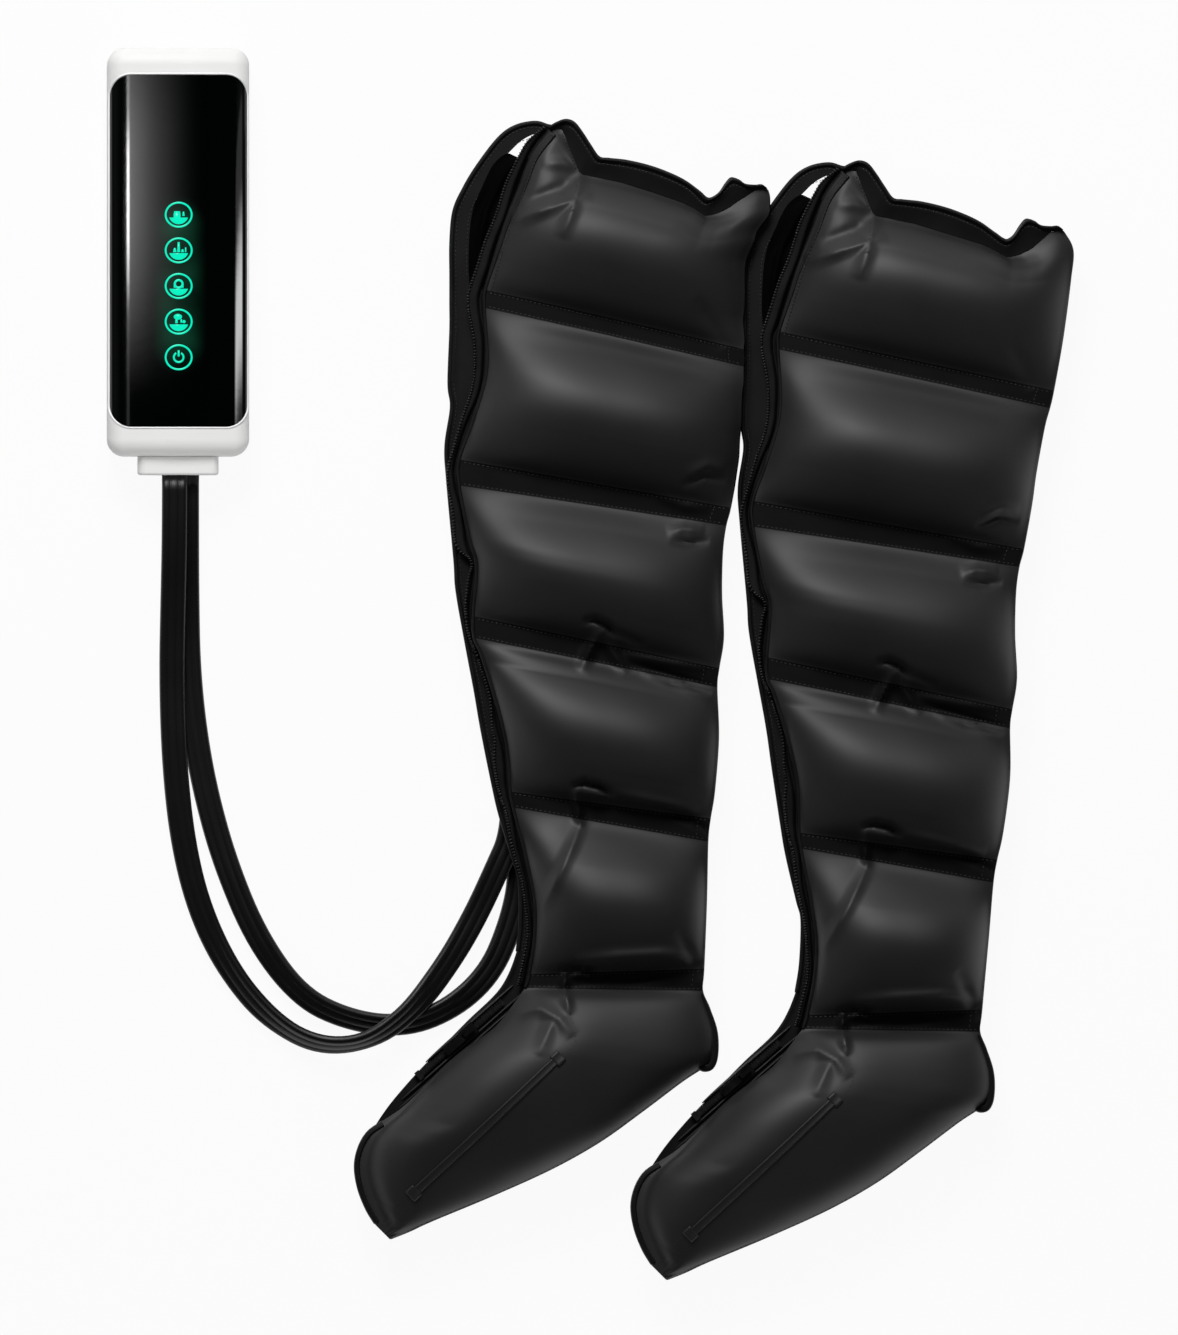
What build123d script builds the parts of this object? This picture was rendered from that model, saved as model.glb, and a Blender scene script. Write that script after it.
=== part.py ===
from build123d import *
import math
import os

# An air compression leg therapy set: a hand-held pump, two flat air hoses and two leg sleeves,
# laid out flat on a table. Millimetres, +Z up, +Y towards the mouths of the sleeves. The origin
# lies on the table, under the middle of the whole layout.

# ---------------------------------------------------------------- driving dimensions: pump
pump_x = -309.4  # middle of the housing on the table
pump_y = 307.7
housing_width = 106.0
housing_length = 305.0
housing_corner = 13.0  # corner radius seen from above
foot_height = 1.5
split_height = 20.0  # where the two shells meet
housing_top = 46.0
crown_radius = 400.0  # the top is gently domed across its width
top_round = 12.5  # rounding of the upper edges
base_round = 6.0
lens_thickness = 1.6
wall = 1.6  # front shell wall under the lens
tongue = 2.0
floor_wall = 2.4
joint_gap = 0.15  # between parts that drop into each other

lens_width = 102.4
lens_length = 262.9
lens_shift = 0.8  # the lens sits this much nearer the top end
lens_corner = 16.0

key_count = 5
key_pitch = 26.6
key_middle = -25.5  # middle key, along the housing
key_light_radius = 10.0
touch_board_size = (56.0, 150.0, 1.6)
touch_board_drop = 1.8  # below the ceiling of the housing

# inside the housing
screw_from_side = 11.0
screw_from_end = 12.5
screw_radius = 1.5
screw_head_radius = 2.8
screw_head_height = 1.6
screw_grip = 8.0  # above the split
boss_radius = 4.0
main_board_size = (80.0, 82.0, 1.6)
main_board_low = 12.0
post_radius = 3.0
post_inset = 4.0  # from the edges of a board
charge_board_size = (26.0, 13.0, 1.6)
charge_board_gap = 0.8
charge_stand = 4.1
charge_post_radius = 2.5
charge_port_size = (9.0, 8.5, 3.2)
charge_port_shell = 0.3
charge_port_slack = 0.4  # round it, in the wall of the housing
cell_radius = 9.2
cell_length = 65.0
cell_gap = 1.6
cell_room = 2.3
holder_wall = 1.5
holder_end = 4.5
holder_floor = 1.2
holder_height = 15.0
holder_gap = 2.5  # to the charge board
motor_radius = 12.2
motor_length = 31.0
motor_end = -7.0  # where the crankcase starts, across the housing
head_radius = 13.5
pump_line_z = 19.0
crank_depth = 16.0
crank_wall = 2.0
diaphragm_thickness = 1.2
valve_head_length = 8.0
pump_nozzle = 8.0
shaft_radius = 1.0
shaft_rear = 6.0  # from the rear of the motor to the end of the shaft
crank_gap = 4.0
crank_hub = 4.0
crank_throw = 2.5
saddle_slack = 0.05
saddle_lip = 2.0
saddle_thickness = 4.0
manifold_width = 86.0
manifold_depth = 14.0
manifold_above = 9.0  # over the middle of the plug
channel_length = 5.0
tube_radius = 2.5
tube_bore = 1.5
bore_depth = 9.0
inlet_x = 37.0
valve_count = 6
valve_pitch = 12.0
valve_shift = -5.0
valve_size = (11.0, 13.0, 14.0)
valve_cap = 4.0
pump_share = 0.55  # of the spare room between valves and pump
board_share = 0.17  # and between pump and main board
foot_radius = 7.0
foot_from_side = 17.0
foot_from_end = 34.5

# plug and hoses
plug_width = 60.4
plug_height = 24.0
plug_grip = 14.0
nose_width = 54.0
nose_height = 18.0
nose_depth = 12.0
plug_z = 23.0
lane_pitch = 6.3
lanes = 3
hose_width = 19.0
hose_thickness = 7.0
outer_hose_x = -312.0
outer_hose_z = plug_z + 4.0
inner_hose_x = -303.0
inner_hose_z = plug_z - 4.0
nozzle_radius = 2.2
nozzle_bore = 1.2
nozzle_length = 9.0
plug_bore = 2.5
socket_wall = 3.5
socket_gap = 0.5  # to the inside of the end wall
socket_back = 5.0
socket_slack = 0.3

# ---------------------------------------------------------------- driving dimensions: sleeves
back_top = 24.0  # inner face of the back panel above the table
leg_gap = 8.0  # flat passage for the leg between the two panels
front_base = back_top + leg_gap
seam_thickness = 8.0  # one panel where it is welded flat
edge_thickness = 6.0
edge_tunnel = 22.0  # the unpadded strip along the zip, clear of the table
flap_thickness = 2.5
fold_width = 9.0
foot_step = 207.0  # how far the right sleeve lies from the left one, at the foot
mouth_step = 219.75  # and at the mouth
step_back = -30.75

# left sleeve, seen from above: zip edge, outer edge, crown of the front panel, how far the
# other sleeve pushes the outer edge in. One line for each section, from the mouth to the toe.
sections = [
    ((-43, 376), (140, 330), 8, 15.5),
    ((-59, 345), (138, 302), 42, 23.5),
    ((-72, 306), (132, 266), 42, 19.6),
    ((-80, 273), (127, 236), 8, 14.7),
    ((-80, 234), (118, 200), 44, 6.0),
    ((-90, 182), (110, 148), 44, 1.2),
    ((-99, 143), (104, 110), 8, 0),
    ((-95, 108), (97, 74), 42, 0),
    ((-88, 63), (98, 26), 42, 0),
    ((-89, 28), (94, -10), 8, 0),
    ((-77, -11), (95, -44), 38, 0),
    ((-65, -62), (92, -90), 38, 0),
    ((-60, -101), (88, -124), 8, 0),
    ((-51, -142), (86, -157), 34, 0),
    ((-44, -196), (84, -200), 34, 0),
    ((-48, -237), (82, -233), 8, 0),
]
foot_sections = [
    ((-48, -237), (82, -233), 8, 0),
    ((-62, -258), (94, -296), 34, 0),
    ((-80, -277), (37, -334), 38, 0),
    ((-101, -294), (-5, -362), 36, 0),
    ((-125, -313), (-52, -386), 30, 0),
    ((-153, -335), (-120, -414), 18, 0),
    ((-174, -372), (-150, -425), 7, 0),
]
chamber_names = ["upper_thigh", "lower_thigh", "knee", "calf", "ankle"]
collar_top = [
    (-38, 388), (-19, 406), (-11, 404), (0, 389), (6, 380), (38, 373), (58, 365), (75, 356),
    (91, 349), (97, 350), (103, 359), (108, 362), (118, 358), (130, 357),
]
flap_outer = [
    (-24, 403), (-42, 406), (-58, 402), (-85, 374), (-103, 340), (-106, 300), (-107, 210),
    (-109, 160), (-103, 78), (-94, 16), (-74, -91), (-59, -146), (-54, -192), (-68, -242),
    (-93, -268), (-129, -301), (-152, -326),
]
flap_window = [(-36, 396), (-52, 391), (-66, 377)]
track_low = (-130.6, -308.8)  # the straight stretch of zip over the instep
track_high = (-66.6, -252.4)
slider_rest = 51.0  # from the low end of that stretch
collar_corner = [(141, 340)]
collar_corner_pushed = [(137, 351), (132, 341)]  # of the left sleeve, under the right one
step_low, step_high = -290.0, 10.0  # the step between the sleeves widens between these
seam_crown = 16.0  # a section that rises less than this is a welded band
hem_drop = 2.0

# zip
coil_width = 5.0
coil_height = 2.4
coil_neck = 2.4
coil_stand = 1.2
tooth_pitch = 2.2
tooth_gap = 0.8
stop_length = 4.0
stop_rise = 0.6
tape_reach = 5.0
tape_thickness = 1.2
slider_length = 13.0
slider_width = 9.0
slider_clearance = 0.25
slider_roof = 1.5
lip_height = 0.65
pin_radius = 0.8
arch_width = 3.0
arch_height = 2.6
arm_reach = 0.9  # of the pull, past the middle of its pin
pull_length = 24.0
pull_width = 6.5
pull_thickness = 1.4

# ports in the sleeves
port_width = 22.0
port_depth = 30.0
port_height = 15.4
port_front = -96.0  # where the hoses meet it
port_x = -58.0
port_bore = 1.6
port_bore_depth = 18.0
hose_end_z = (3.9, 11.6)  # middles of the two hoses where they meet the port
table_clearance = 0.3

os.makedirs("parts", exist_ok=True)


def keep(builder, name):
    """Labels a finished piece and writes it as its own file."""
    builder.part.label = name
    export_step(builder.part, f"parts/{name}.step")


# ================================================================ pump
bed = Plane((pump_x, pump_y, 0))
half_length = housing_length / 2
half_width = housing_width / 2
inset = lens_thickness + wall
inner_half_length = half_length - inset
floor_top = foot_height + floor_wall
ceiling = housing_top - inset
# looks out of the lower end of the housing, with its own Y pointing up
end_face = Plane((pump_x, pump_y - half_length, plug_z), x_dir=(1, 0, 0), z_dir=(0, -1, 0))


def upper_form(skin, low):
    """The upper half of the housing as a solid loaf, its skin moved in by the given amount."""
    with BuildPart() as form:
        with BuildSketch(bed.offset(low)):
            RectangleRounded(housing_width - 2 * skin, housing_length - 2 * skin, housing_corner - skin)
        extrude(amount=housing_top - low)
        with BuildSketch(end_face):
            with Locations((0, housing_top - plug_z - crown_radius)):
                Circle(crown_radius - skin)
        extrude(amount=-housing_length, mode=Mode.INTERSECT)
        fillet(form.faces().sort_by(Axis.Z)[-1].edges(), top_round - skin)
    return form.part


def lens_piece(depth, slack):
    """The wrap-round panel: the outer skin of the upper form within a rounded outline."""
    outer = upper_form(0, split_height)
    core = upper_form(depth, split_height)
    with BuildPart() as piece:
        add(outer)
        add(core, mode=Mode.SUBTRACT)
        with BuildSketch(bed.offset(split_height)):
            with Locations((0, lens_shift)):
                RectangleRounded(lens_width - 2 * slack, lens_length - 2 * slack, lens_corner - slack)
        extrude(amount=housing_top, mode=Mode.INTERSECT)
    return piece.part


key_places = [(0, key_middle + key_pitch * (i - (key_count - 1) / 2)) for i in range(key_count)]
screw_places = [
    (x * (half_width - screw_from_side), y * (half_length - screw_from_end))
    for x in (-1, 1) for y in (-1, 1)
]
touch_board_top = ceiling - touch_board_drop


def corner_posts(size):
    """Places for four posts under the corners of a board, seen from its middle."""
    return [
        (x * (size[0] / 2 - post_inset), y * (size[1] / 2 - post_inset))
        for x in (-1, 1) for y in (-1, 1)
    ]


# along the housing, from the hoses on: socket, channel tubes, manifold, valves, pump, main board,
# battery, charge board. The pump and the main board share out the room that is left.
socket_pocket = nose_depth + 1.0
socket_rear = socket_pocket + socket_back - inset - socket_gap
manifold_front = -half_length + socket_pocket + socket_back + channel_length
manifold_rear = manifold_front + manifold_depth
valves_end = manifold_rear + valve_size[2] + valve_cap
charge_middle = inner_half_length - charge_board_gap - charge_board_size[1] / 2
charge_port_z = (
    floor_top + charge_stand + charge_board_size[2] + charge_port_size[2] / 2 + 0.1
)
holder_length = cell_length + 2 * holder_end
holder_middle = charge_middle - charge_board_size[1] / 2 - holder_gap - holder_length / 2
saddle_width = 2 * head_radius + 2 * saddle_lip
spare = holder_middle - holder_length / 2 - valves_end - saddle_width - main_board_size[1]
pump_line_y = valves_end + pump_share * spare + saddle_width / 2
main_board_middle = pump_line_y + saddle_width / 2 + board_share * spare + main_board_size[1] / 2
key_bed = Plane((pump_x, pump_y + key_middle, touch_board_top))
board_bed = Plane((pump_x, pump_y + main_board_middle, main_board_low))
charge_bed = Plane((pump_x, pump_y + charge_middle, floor_top + charge_stand))

# the diaphragm pump lies across the housing on this line
crank_end = motor_end + crank_depth
valve_head_end = crank_end + diaphragm_thickness + valve_head_length
pump_line = Plane(
    (pump_x, pump_y + pump_line_y, pump_line_z), x_dir=(0, 1, 0), z_dir=(1, 0, 0)
)

lane_places = [
    (hose_x - pump_x + lane_pitch * (i - (lanes - 1) / 2), hose_z - plug_z)
    for hose_x, hose_z in ((outer_hose_x, outer_hose_z), (inner_hose_x, inner_hose_z))
    for i in range(lanes)
]
shelf_size = (50.0, 10.0)
charge_mouth = Plane(
    (pump_x, pump_y + half_length - 1, charge_port_z), x_dir=(1, 0, 0), z_dir=(0, -1, 0)
)

with BuildPart() as back_shell:
    with BuildSketch(bed.offset(foot_height)):
        RectangleRounded(housing_width, housing_length, housing_corner)
    extrude(amount=split_height - foot_height)
    fillet(back_shell.faces().sort_by(Axis.Z)[0].edges(), base_round)
    with BuildSketch(bed.offset(floor_top)):
        RectangleRounded(housing_width - 2 * inset, housing_length - 2 * inset, housing_corner - inset)
    extrude(amount=split_height, mode=Mode.SUBTRACT)
    # tongue that lines up the two shells, left out where the hose socket sits
    for low, skin in ((split_height - tongue, inset - 0.5), (split_height, inset + joint_gap)):
        with BuildSketch(bed.offset(low)):
            RectangleRounded(
                housing_width - 2 * skin, housing_length - 2 * skin, housing_corner - skin
            )
            RectangleRounded(
                housing_width - 2 * inset - 2 * tongue,
                housing_length - 2 * inset - 2 * tongue,
                housing_corner - inset - tongue,
                mode=Mode.SUBTRACT,
            )
            with Locations((0, -inner_half_length + tongue + 1)):
                Rectangle(nose_width + 2 * socket_wall + 1, 2 * tongue + 1.9, mode=Mode.SUBTRACT)
        extrude(amount=tongue)
    # bosses for the housing screws and posts for the main board
    with BuildSketch(bed.offset(floor_top)):
        with Locations(*screw_places):
            Circle(boss_radius)
    extrude(amount=split_height - floor_top)
    with BuildSketch(board_bed.offset(floor_top - main_board_low)):
        with Locations(*corner_posts(main_board_size)):
            Circle(post_radius)
    extrude(amount=main_board_low - floor_top)
    # posts for the charge board and the shelf under the hose socket
    with BuildSketch(charge_bed.offset(-charge_stand)):
        with GridLocations(charge_board_size[0] - 4 * charge_post_radius, 0, 2, 1):
            Circle(charge_post_radius)
    extrude(amount=charge_stand)
    with BuildSketch(bed.offset(floor_top)):
        with Locations((0, -inner_half_length + shelf_size[1] / 2 + tongue)):
            Rectangle(*shelf_size)
    extrude(amount=plug_z - nose_height / 2 - socket_wall - joint_gap - floor_top)
    # saddles of the diaphragm pump
    with BuildSketch(bed.offset(floor_top)):
        with Locations((motor_end - 3 * motor_length / 4, pump_line_y), (crank_end - 5, pump_line_y)):
            Rectangle(saddle_thickness, saddle_width)
    extrude(amount=pump_line_z - floor_top)
    with BuildSketch(pump_line.offset(motor_end)):
        Circle(motor_radius + saddle_slack)
    extrude(amount=-motor_length, mode=Mode.SUBTRACT)
    with BuildSketch(pump_line.offset(motor_end)):
        Circle(head_radius + saddle_slack)
    extrude(amount=2 * crank_depth, mode=Mode.SUBTRACT)
    # screw holes from below
    with BuildSketch(bed):
        with Locations(*screw_places):
            Circle(screw_radius + joint_gap)
    extrude(amount=split_height + tongue + 1, mode=Mode.SUBTRACT)
    with BuildSketch(bed):
        with Locations(*screw_places):
            Circle(screw_head_radius + 2 * joint_gap)
    extrude(amount=floor_top, mode=Mode.SUBTRACT)
    # opening for the plug and slot of the charge port
    with BuildSketch(end_face.offset(2)):
        RectangleRounded(nose_width + 1, nose_height + 1, 4.5)
    extrude(amount=-(inset + 6), mode=Mode.SUBTRACT)
    with BuildSketch(charge_mouth.offset(-2)):
        RectangleRounded(
            charge_port_size[0] + 2 * charge_port_slack, charge_port_size[2] + 2 * charge_port_slack,
            charge_port_size[2] / 2,
        )
    extrude(amount=inset + 5, mode=Mode.SUBTRACT)
keep(back_shell, "back_shell")

front_outer = upper_form(0, split_height)
front_cavity = upper_form(inset, split_height)
lens_recess = lens_piece(lens_thickness, 0)
with BuildPart() as front_skin:
    add(front_outer)
    add(front_cavity, mode=Mode.SUBTRACT)
with BuildPart() as front_shell:
    # bosses and posts first, cut to the outer form, so that they always reach the shell
    with BuildSketch(bed.offset(split_height + joint_gap)):
        with Locations(*screw_places):
            Circle(boss_radius)
    extrude(amount=housing_top - split_height)
    with BuildSketch(key_bed):
        with Locations(*corner_posts(touch_board_size)):
            Circle(post_radius)
    extrude(amount=housing_top - touch_board_top)
    add(front_outer, mode=Mode.INTERSECT)
    add(front_skin.part)
    add(lens_recess, mode=Mode.SUBTRACT)
    with BuildSketch(bed.offset(ceiling - 1)):
        with Locations(*key_places):
            Circle(key_light_radius + joint_gap)
    extrude(amount=inset + 1, mode=Mode.SUBTRACT)
    with BuildSketch(bed.offset(split_height)):
        with Locations(*screw_places):
            Circle(screw_radius + joint_gap / 3)
    extrude(amount=screw_grip + 4, mode=Mode.SUBTRACT)
    with BuildSketch(end_face.offset(2)):
        RectangleRounded(nose_width + 1, nose_height + 1, 4.5)
    extrude(amount=-(inset + 6), mode=Mode.SUBTRACT)
keep(front_shell, "front_shell")

with BuildPart() as touch_lens:
    add(lens_piece(lens_thickness - 0.05, joint_gap))
keep(touch_lens, "touch_lens")

with BuildPart() as touch_board:
    with BuildSketch(key_bed):
        RectangleRounded(touch_board_size[0], touch_board_size[1], post_radius)
    extrude(amount=-touch_board_size[2])
keep(touch_board, "touch_board")

with BuildPart() as light_guides:
    with BuildSketch(bed.offset(touch_board_top)):
        with Locations(*key_places):
            Circle(key_light_radius)
    extrude(amount=housing_top - touch_board_top)
    # their tops follow the underside of the lens
    add(upper_form(lens_thickness + joint_gap, split_height), mode=Mode.INTERSECT)
keep(light_guides, "light_guides")

with BuildPart() as main_board:
    with BuildSketch(board_bed):
        RectangleRounded(main_board_size[0], main_board_size[1], post_radius)
    extrude(amount=main_board_size[2])
    # chips, capacitors and plugs
    board_top = board_bed.offset(main_board_size[2])
    with BuildSketch(board_top):
        with Locations((-10, 6), (18, -12)):
            Rectangle(10, 10)
    extrude(amount=1.6)
    with BuildSketch(board_top):
        with Locations((-26, -24), (-26, 24)):
            Circle(4)
    extrude(amount=11)
    with BuildSketch(board_top):
        with Locations((0, 34), (0, -36)):
            Rectangle(16, 6)
    extrude(amount=6)
keep(main_board, "main_board")

cell_pitch = 2 * cell_radius + cell_gap
cell_z = floor_top + holder_floor + cell_radius + 0.1
tray_width = 2 * cell_radius + cell_pitch + 2 * cell_room
with BuildPart() as battery_holder:
    with BuildSketch(bed.offset(floor_top)):
        with Locations((0, holder_middle)):
            Rectangle(tray_width + 2 * holder_wall, holder_length)
    extrude(amount=holder_height)
    with BuildSketch(bed.offset(floor_top + holder_floor)):
        with Locations((0, holder_middle)):
            Rectangle(tray_width, cell_length + 1)
    extrude(amount=holder_height, mode=Mode.SUBTRACT)
keep(battery_holder, "battery_holder")

with BuildPart() as battery_cells:
    start = Plane(
        (pump_x, pump_y + holder_middle - cell_length / 2, cell_z), x_dir=(1, 0, 0), z_dir=(0, 1, 0)
    )
    with BuildSketch(start):
        with GridLocations(cell_pitch, 0, 2, 1):
            Circle(cell_radius)
    extrude(amount=cell_length - 1)
    with BuildSketch(start):
        with GridLocations(cell_pitch, 0, 2, 1):
            Circle(cell_radius / 3)
    extrude(amount=cell_length)
keep(battery_cells, "battery_cells")

with BuildPart() as charge_board:
    with BuildSketch(charge_bed):
        Rectangle(charge_board_size[0], charge_board_size[1])
    extrude(amount=charge_board_size[2])
keep(charge_board, "charge_board")

with BuildPart() as charge_port:
    port_across, port_deep, port_tall = charge_port_size
    with BuildSketch(charge_mouth):
        RectangleRounded(port_across, port_tall, port_tall / 2 - 0.1)
    extrude(amount=port_deep)
    with BuildSketch(charge_mouth):
        RectangleRounded(
            port_across - 2 * charge_port_shell, port_tall - 2 * charge_port_shell,
            port_tall / 2 - charge_port_shell - 0.05,
        )
    extrude(amount=port_deep - 1.5, mode=Mode.SUBTRACT)
    with BuildSketch(charge_mouth.offset(2)):
        Rectangle(port_across - 2.4, 0.7)
    extrude(amount=port_deep - 3)
keep(charge_port, "charge_port")

with BuildPart() as pump_motor:
    with BuildSketch(pump_line.offset(motor_end - motor_length)):
        Circle(motor_radius)
    extrude(amount=motor_length)
    chamfer(pump_motor.faces().sort_by(Axis.X)[0].edges(), 1)
    with BuildSketch(pump_line.offset(motor_end - motor_length)):
        Circle(motor_radius / 3)
    extrude(amount=-2)
    with BuildSketch(pump_line.offset(motor_end)):
        Circle(shaft_radius + saddle_slack)
    extrude(amount=-(motor_length - shaft_rear + 2), mode=Mode.SUBTRACT)
keep(pump_motor, "pump_motor")

with BuildPart() as pump_rotor:
    with BuildSketch(pump_line.offset(motor_end - motor_length + shaft_rear)):
        Circle(shaft_radius)
    extrude(amount=motor_length - shaft_rear + crank_gap + 1)
    with BuildSketch(pump_line.offset(motor_end + crank_gap)):
        Circle(2 * crank_throw)
    extrude(amount=crank_hub)
    with BuildSketch(pump_line.offset(motor_end + crank_gap + crank_hub)):
        with Locations((crank_throw, 0)):
            Circle(crank_throw / 2)
    extrude(amount=3)
keep(pump_rotor, "pump_rotor")

with BuildPart() as pump_crankcase:
    with BuildSketch(pump_line.offset(motor_end)):
        Circle(head_radius)
    extrude(amount=crank_depth)
    with BuildSketch(pump_line.offset(motor_end + crank_wall)):
        Circle(head_radius - crank_wall)
    extrude(amount=crank_depth, mode=Mode.SUBTRACT)
    with BuildSketch(pump_line.offset(motor_end)):
        Circle(shaft_radius + 0.6)
    extrude(amount=crank_wall, mode=Mode.SUBTRACT)
keep(pump_crankcase, "pump_crankcase")

cup_radius = 3.2
cup_places = [Vector(head_radius / 2, 0).rotate(Axis.Z, 120 * i + 60) for i in range(3)]
with BuildPart() as pump_diaphragm:
    with BuildSketch(pump_line.offset(crank_end)):
        Circle(head_radius)
    extrude(amount=diaphragm_thickness)
    with BuildSketch(pump_line.offset(crank_end)):
        with Locations(*cup_places):
            Circle(cup_radius)
    extrude(amount=-3)
keep(pump_diaphragm, "pump_diaphragm")

with BuildPart() as pump_valve_head:
    with BuildSketch(pump_line.offset(crank_end + diaphragm_thickness)):
        Circle(head_radius)
    extrude(amount=valve_head_length)
    with BuildSketch(pump_line.offset(crank_end + diaphragm_thickness)):
        with Locations(*cup_places):
            Circle(cup_radius - 0.2)
    extrude(amount=3, mode=Mode.SUBTRACT)
    with BuildSketch(pump_line.offset(valve_head_end)):
        Circle(tube_bore + 0.5)
    extrude(amount=pump_nozzle)
    with BuildSketch(pump_line.offset(valve_head_end + pump_nozzle)):
        Circle(tube_bore - 0.5)
    extrude(amount=-(pump_nozzle + valve_head_length), mode=Mode.SUBTRACT)
keep(pump_valve_head, "pump_valve_head")

with BuildPart() as valve_manifold:
    with BuildSketch(bed.offset(floor_top)):
        with Locations((0, (manifold_front + manifold_rear) / 2)):
            RectangleRounded(manifold_width, manifold_depth, 2)
    extrude(amount=plug_z + manifold_above - floor_top)
    with BuildSketch(end_face.offset(-(manifold_front + half_length))):
        with Locations(*lane_places):
            Circle(tube_bore)
    extrude(amount=-bore_depth, mode=Mode.SUBTRACT)
    with BuildSketch(end_face.offset(-(manifold_rear + half_length))):
        with Locations((inlet_x, pump_line_z - plug_z)):
            Circle(tube_bore)
    extrude(amount=bore_depth, mode=Mode.SUBTRACT)
keep(valve_manifold, "valve_manifold")

valve_places = [
    (valve_shift + valve_pitch * (i - (valve_count - 1) / 2), 0) for i in range(valve_count)
]
with BuildPart() as solenoid_valves:
    valve_face = end_face.offset(-(manifold_rear + half_length))
    with BuildSketch(valve_face):
        with Locations(*valve_places):
            RectangleRounded(valve_size[0], valve_size[1], 1.5)
    extrude(amount=-valve_size[2])
    with BuildSketch(valve_face.offset(-valve_size[2])):
        with Locations(*valve_places):
            Circle(valve_size[0] / 3)
    extrude(amount=-valve_cap)
keep(solenoid_valves, "solenoid_valves")

with BuildPart() as air_tube:
    tube_start = valve_head_end + pump_nozzle
    with BuildLine() as tube_line:
        FilletPolyline(
            (pump_x + tube_start, pump_y + pump_line_y, pump_line_z),
            (pump_x + inlet_x, pump_y + pump_line_y, pump_line_z),
            (pump_x + inlet_x, pump_y + manifold_rear, pump_line_z),
            radius=8,
        )
    with BuildSketch(Plane(tube_line.line @ 0, z_dir=tube_line.line % 0)):
        Circle(tube_radius)
        Circle(tube_bore, mode=Mode.SUBTRACT)
    sweep()
keep(air_tube, "air_tube")

with BuildPart() as channel_tubes:
    with BuildSketch(end_face.offset(-(manifold_front + half_length))):
        with Locations(*lane_places):
            Circle(tube_radius)
            Circle(tube_bore, mode=Mode.SUBTRACT)
    extrude(amount=channel_length)
keep(channel_tubes, "channel_tubes")

with BuildPart() as hose_socket:
    socket_start = end_face.offset(-inset - socket_gap)
    with BuildSketch(socket_start):
        RectangleRounded(nose_width + 2 * socket_wall, nose_height + 2 * socket_wall, 4)
    extrude(amount=-socket_rear)
    with BuildSketch(socket_start):
        RectangleRounded(nose_width + 2 * socket_slack, nose_height + 2 * socket_slack, 4.3)
    extrude(amount=-(socket_pocket - inset - socket_gap), mode=Mode.SUBTRACT)
    with BuildSketch(end_face.offset(-socket_pocket)):
        with Locations(*lane_places):
            Circle(nozzle_radius)
    extrude(amount=nozzle_length)
    with BuildSketch(end_face.offset(-socket_pocket + nozzle_length)):
        with Locations(*lane_places):
            Circle(nozzle_bore)
    extrude(amount=-(nozzle_length + socket_back), mode=Mode.SUBTRACT)
keep(hose_socket, "hose_socket")

seal_width = 1.2
with BuildPart() as nozzle_seals:
    with BuildSketch(end_face.offset(-socket_pocket + nozzle_length - 3)):
        with Locations(*lane_places):
            Circle(plug_bore - 0.06)
            Circle(nozzle_radius + 0.02, mode=Mode.SUBTRACT)
    extrude(amount=-seal_width)
keep(nozzle_seals, "nozzle_seals")

with BuildPart() as housing_screws:
    with BuildSketch(bed.offset(floor_top)):
        with Locations(*screw_places):
            Circle(screw_radius)
    extrude(amount=split_height + screw_grip - floor_top)
    with BuildSketch(bed.offset(floor_top)):
        with Locations(*screw_places):
            Circle(screw_head_radius)
    extrude(amount=-screw_head_height)
keep(housing_screws, "housing_screws")

with BuildPart() as rubber_feet:
    with BuildSketch(bed):
        with GridLocations(
            2 * (half_width - foot_from_side), 2 * (half_length - foot_from_end), 2, 2
        ):
            Circle(foot_radius)
    extrude(amount=foot_height)
keep(rubber_feet, "rubber_feet")

# ================================================================ plug and hoses
with BuildPart() as hose_plug:
    with BuildSketch(end_face.offset(0.2)):
        RectangleRounded(plug_width, plug_height, 6)
    extrude(amount=plug_grip - 0.2)
    fillet(hose_plug.faces().sort_by(Axis.Y)[0].edges(), 2)
    with BuildSketch(end_face.offset(0.2)):
        RectangleRounded(nose_width, nose_height, 4)
    extrude(amount=-nose_depth)
    with BuildSketch(end_face.offset(-nose_depth)):
        with Locations(*lane_places):
            Circle(plug_bore)
    extrude(amount=nose_depth + 9, mode=Mode.SUBTRACT)
keep(hose_plug, "hose_plug")

hose_start_y = pump_y - half_length - plug_grip
outer_route = [
    (outer_hose_x, hose_start_y, outer_hose_z),
    (outer_hose_x, 98, 25.5),
    (-313, 46, 14.5),
    (-314, -10, 11.3),
    (-312, -74, 10),
    (-305.5, -134, 4.4),
    (-293, -184, 3.6),
    (-272, -228, 3.5),
    (-243, -264, 4.2),
    (-207, -286, 10.2),
    (-168, -284, 12.6),
    (-134, -260, 12.6),
    (-106, -223, 7.5),
    (-86, -188, 4.8),
    (-70.5, -154, 12.2),
    (-58, -126, 11.6),
    (port_x, port_front, hose_end_z[1]),
]
inner_route = [
    (inner_hose_x, hose_start_y, inner_hose_z),
    (inner_hose_x, 100, 17.5),
    (-302.5, 48, 6.5),
    (-301.5, -2, 3.6),
    (-296.5, -52, 3.5),
    (-287.5, -100, 3.5),
    (-273, -151, 3.5),
    (-250, -206, 3.5),
    (-218, -249, 3.5),
    (-182, -271, 3.5),
    (-142, -279, 3.5),
    (-105, -265, 3.5),
    (-75, -232, 3.5),
    (-59, -194, 3.5),
    (-51.5, -158, 3.5),
    (-58, -124, 3.9),
    (port_x, port_front, hose_end_z[0]),
]


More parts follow.
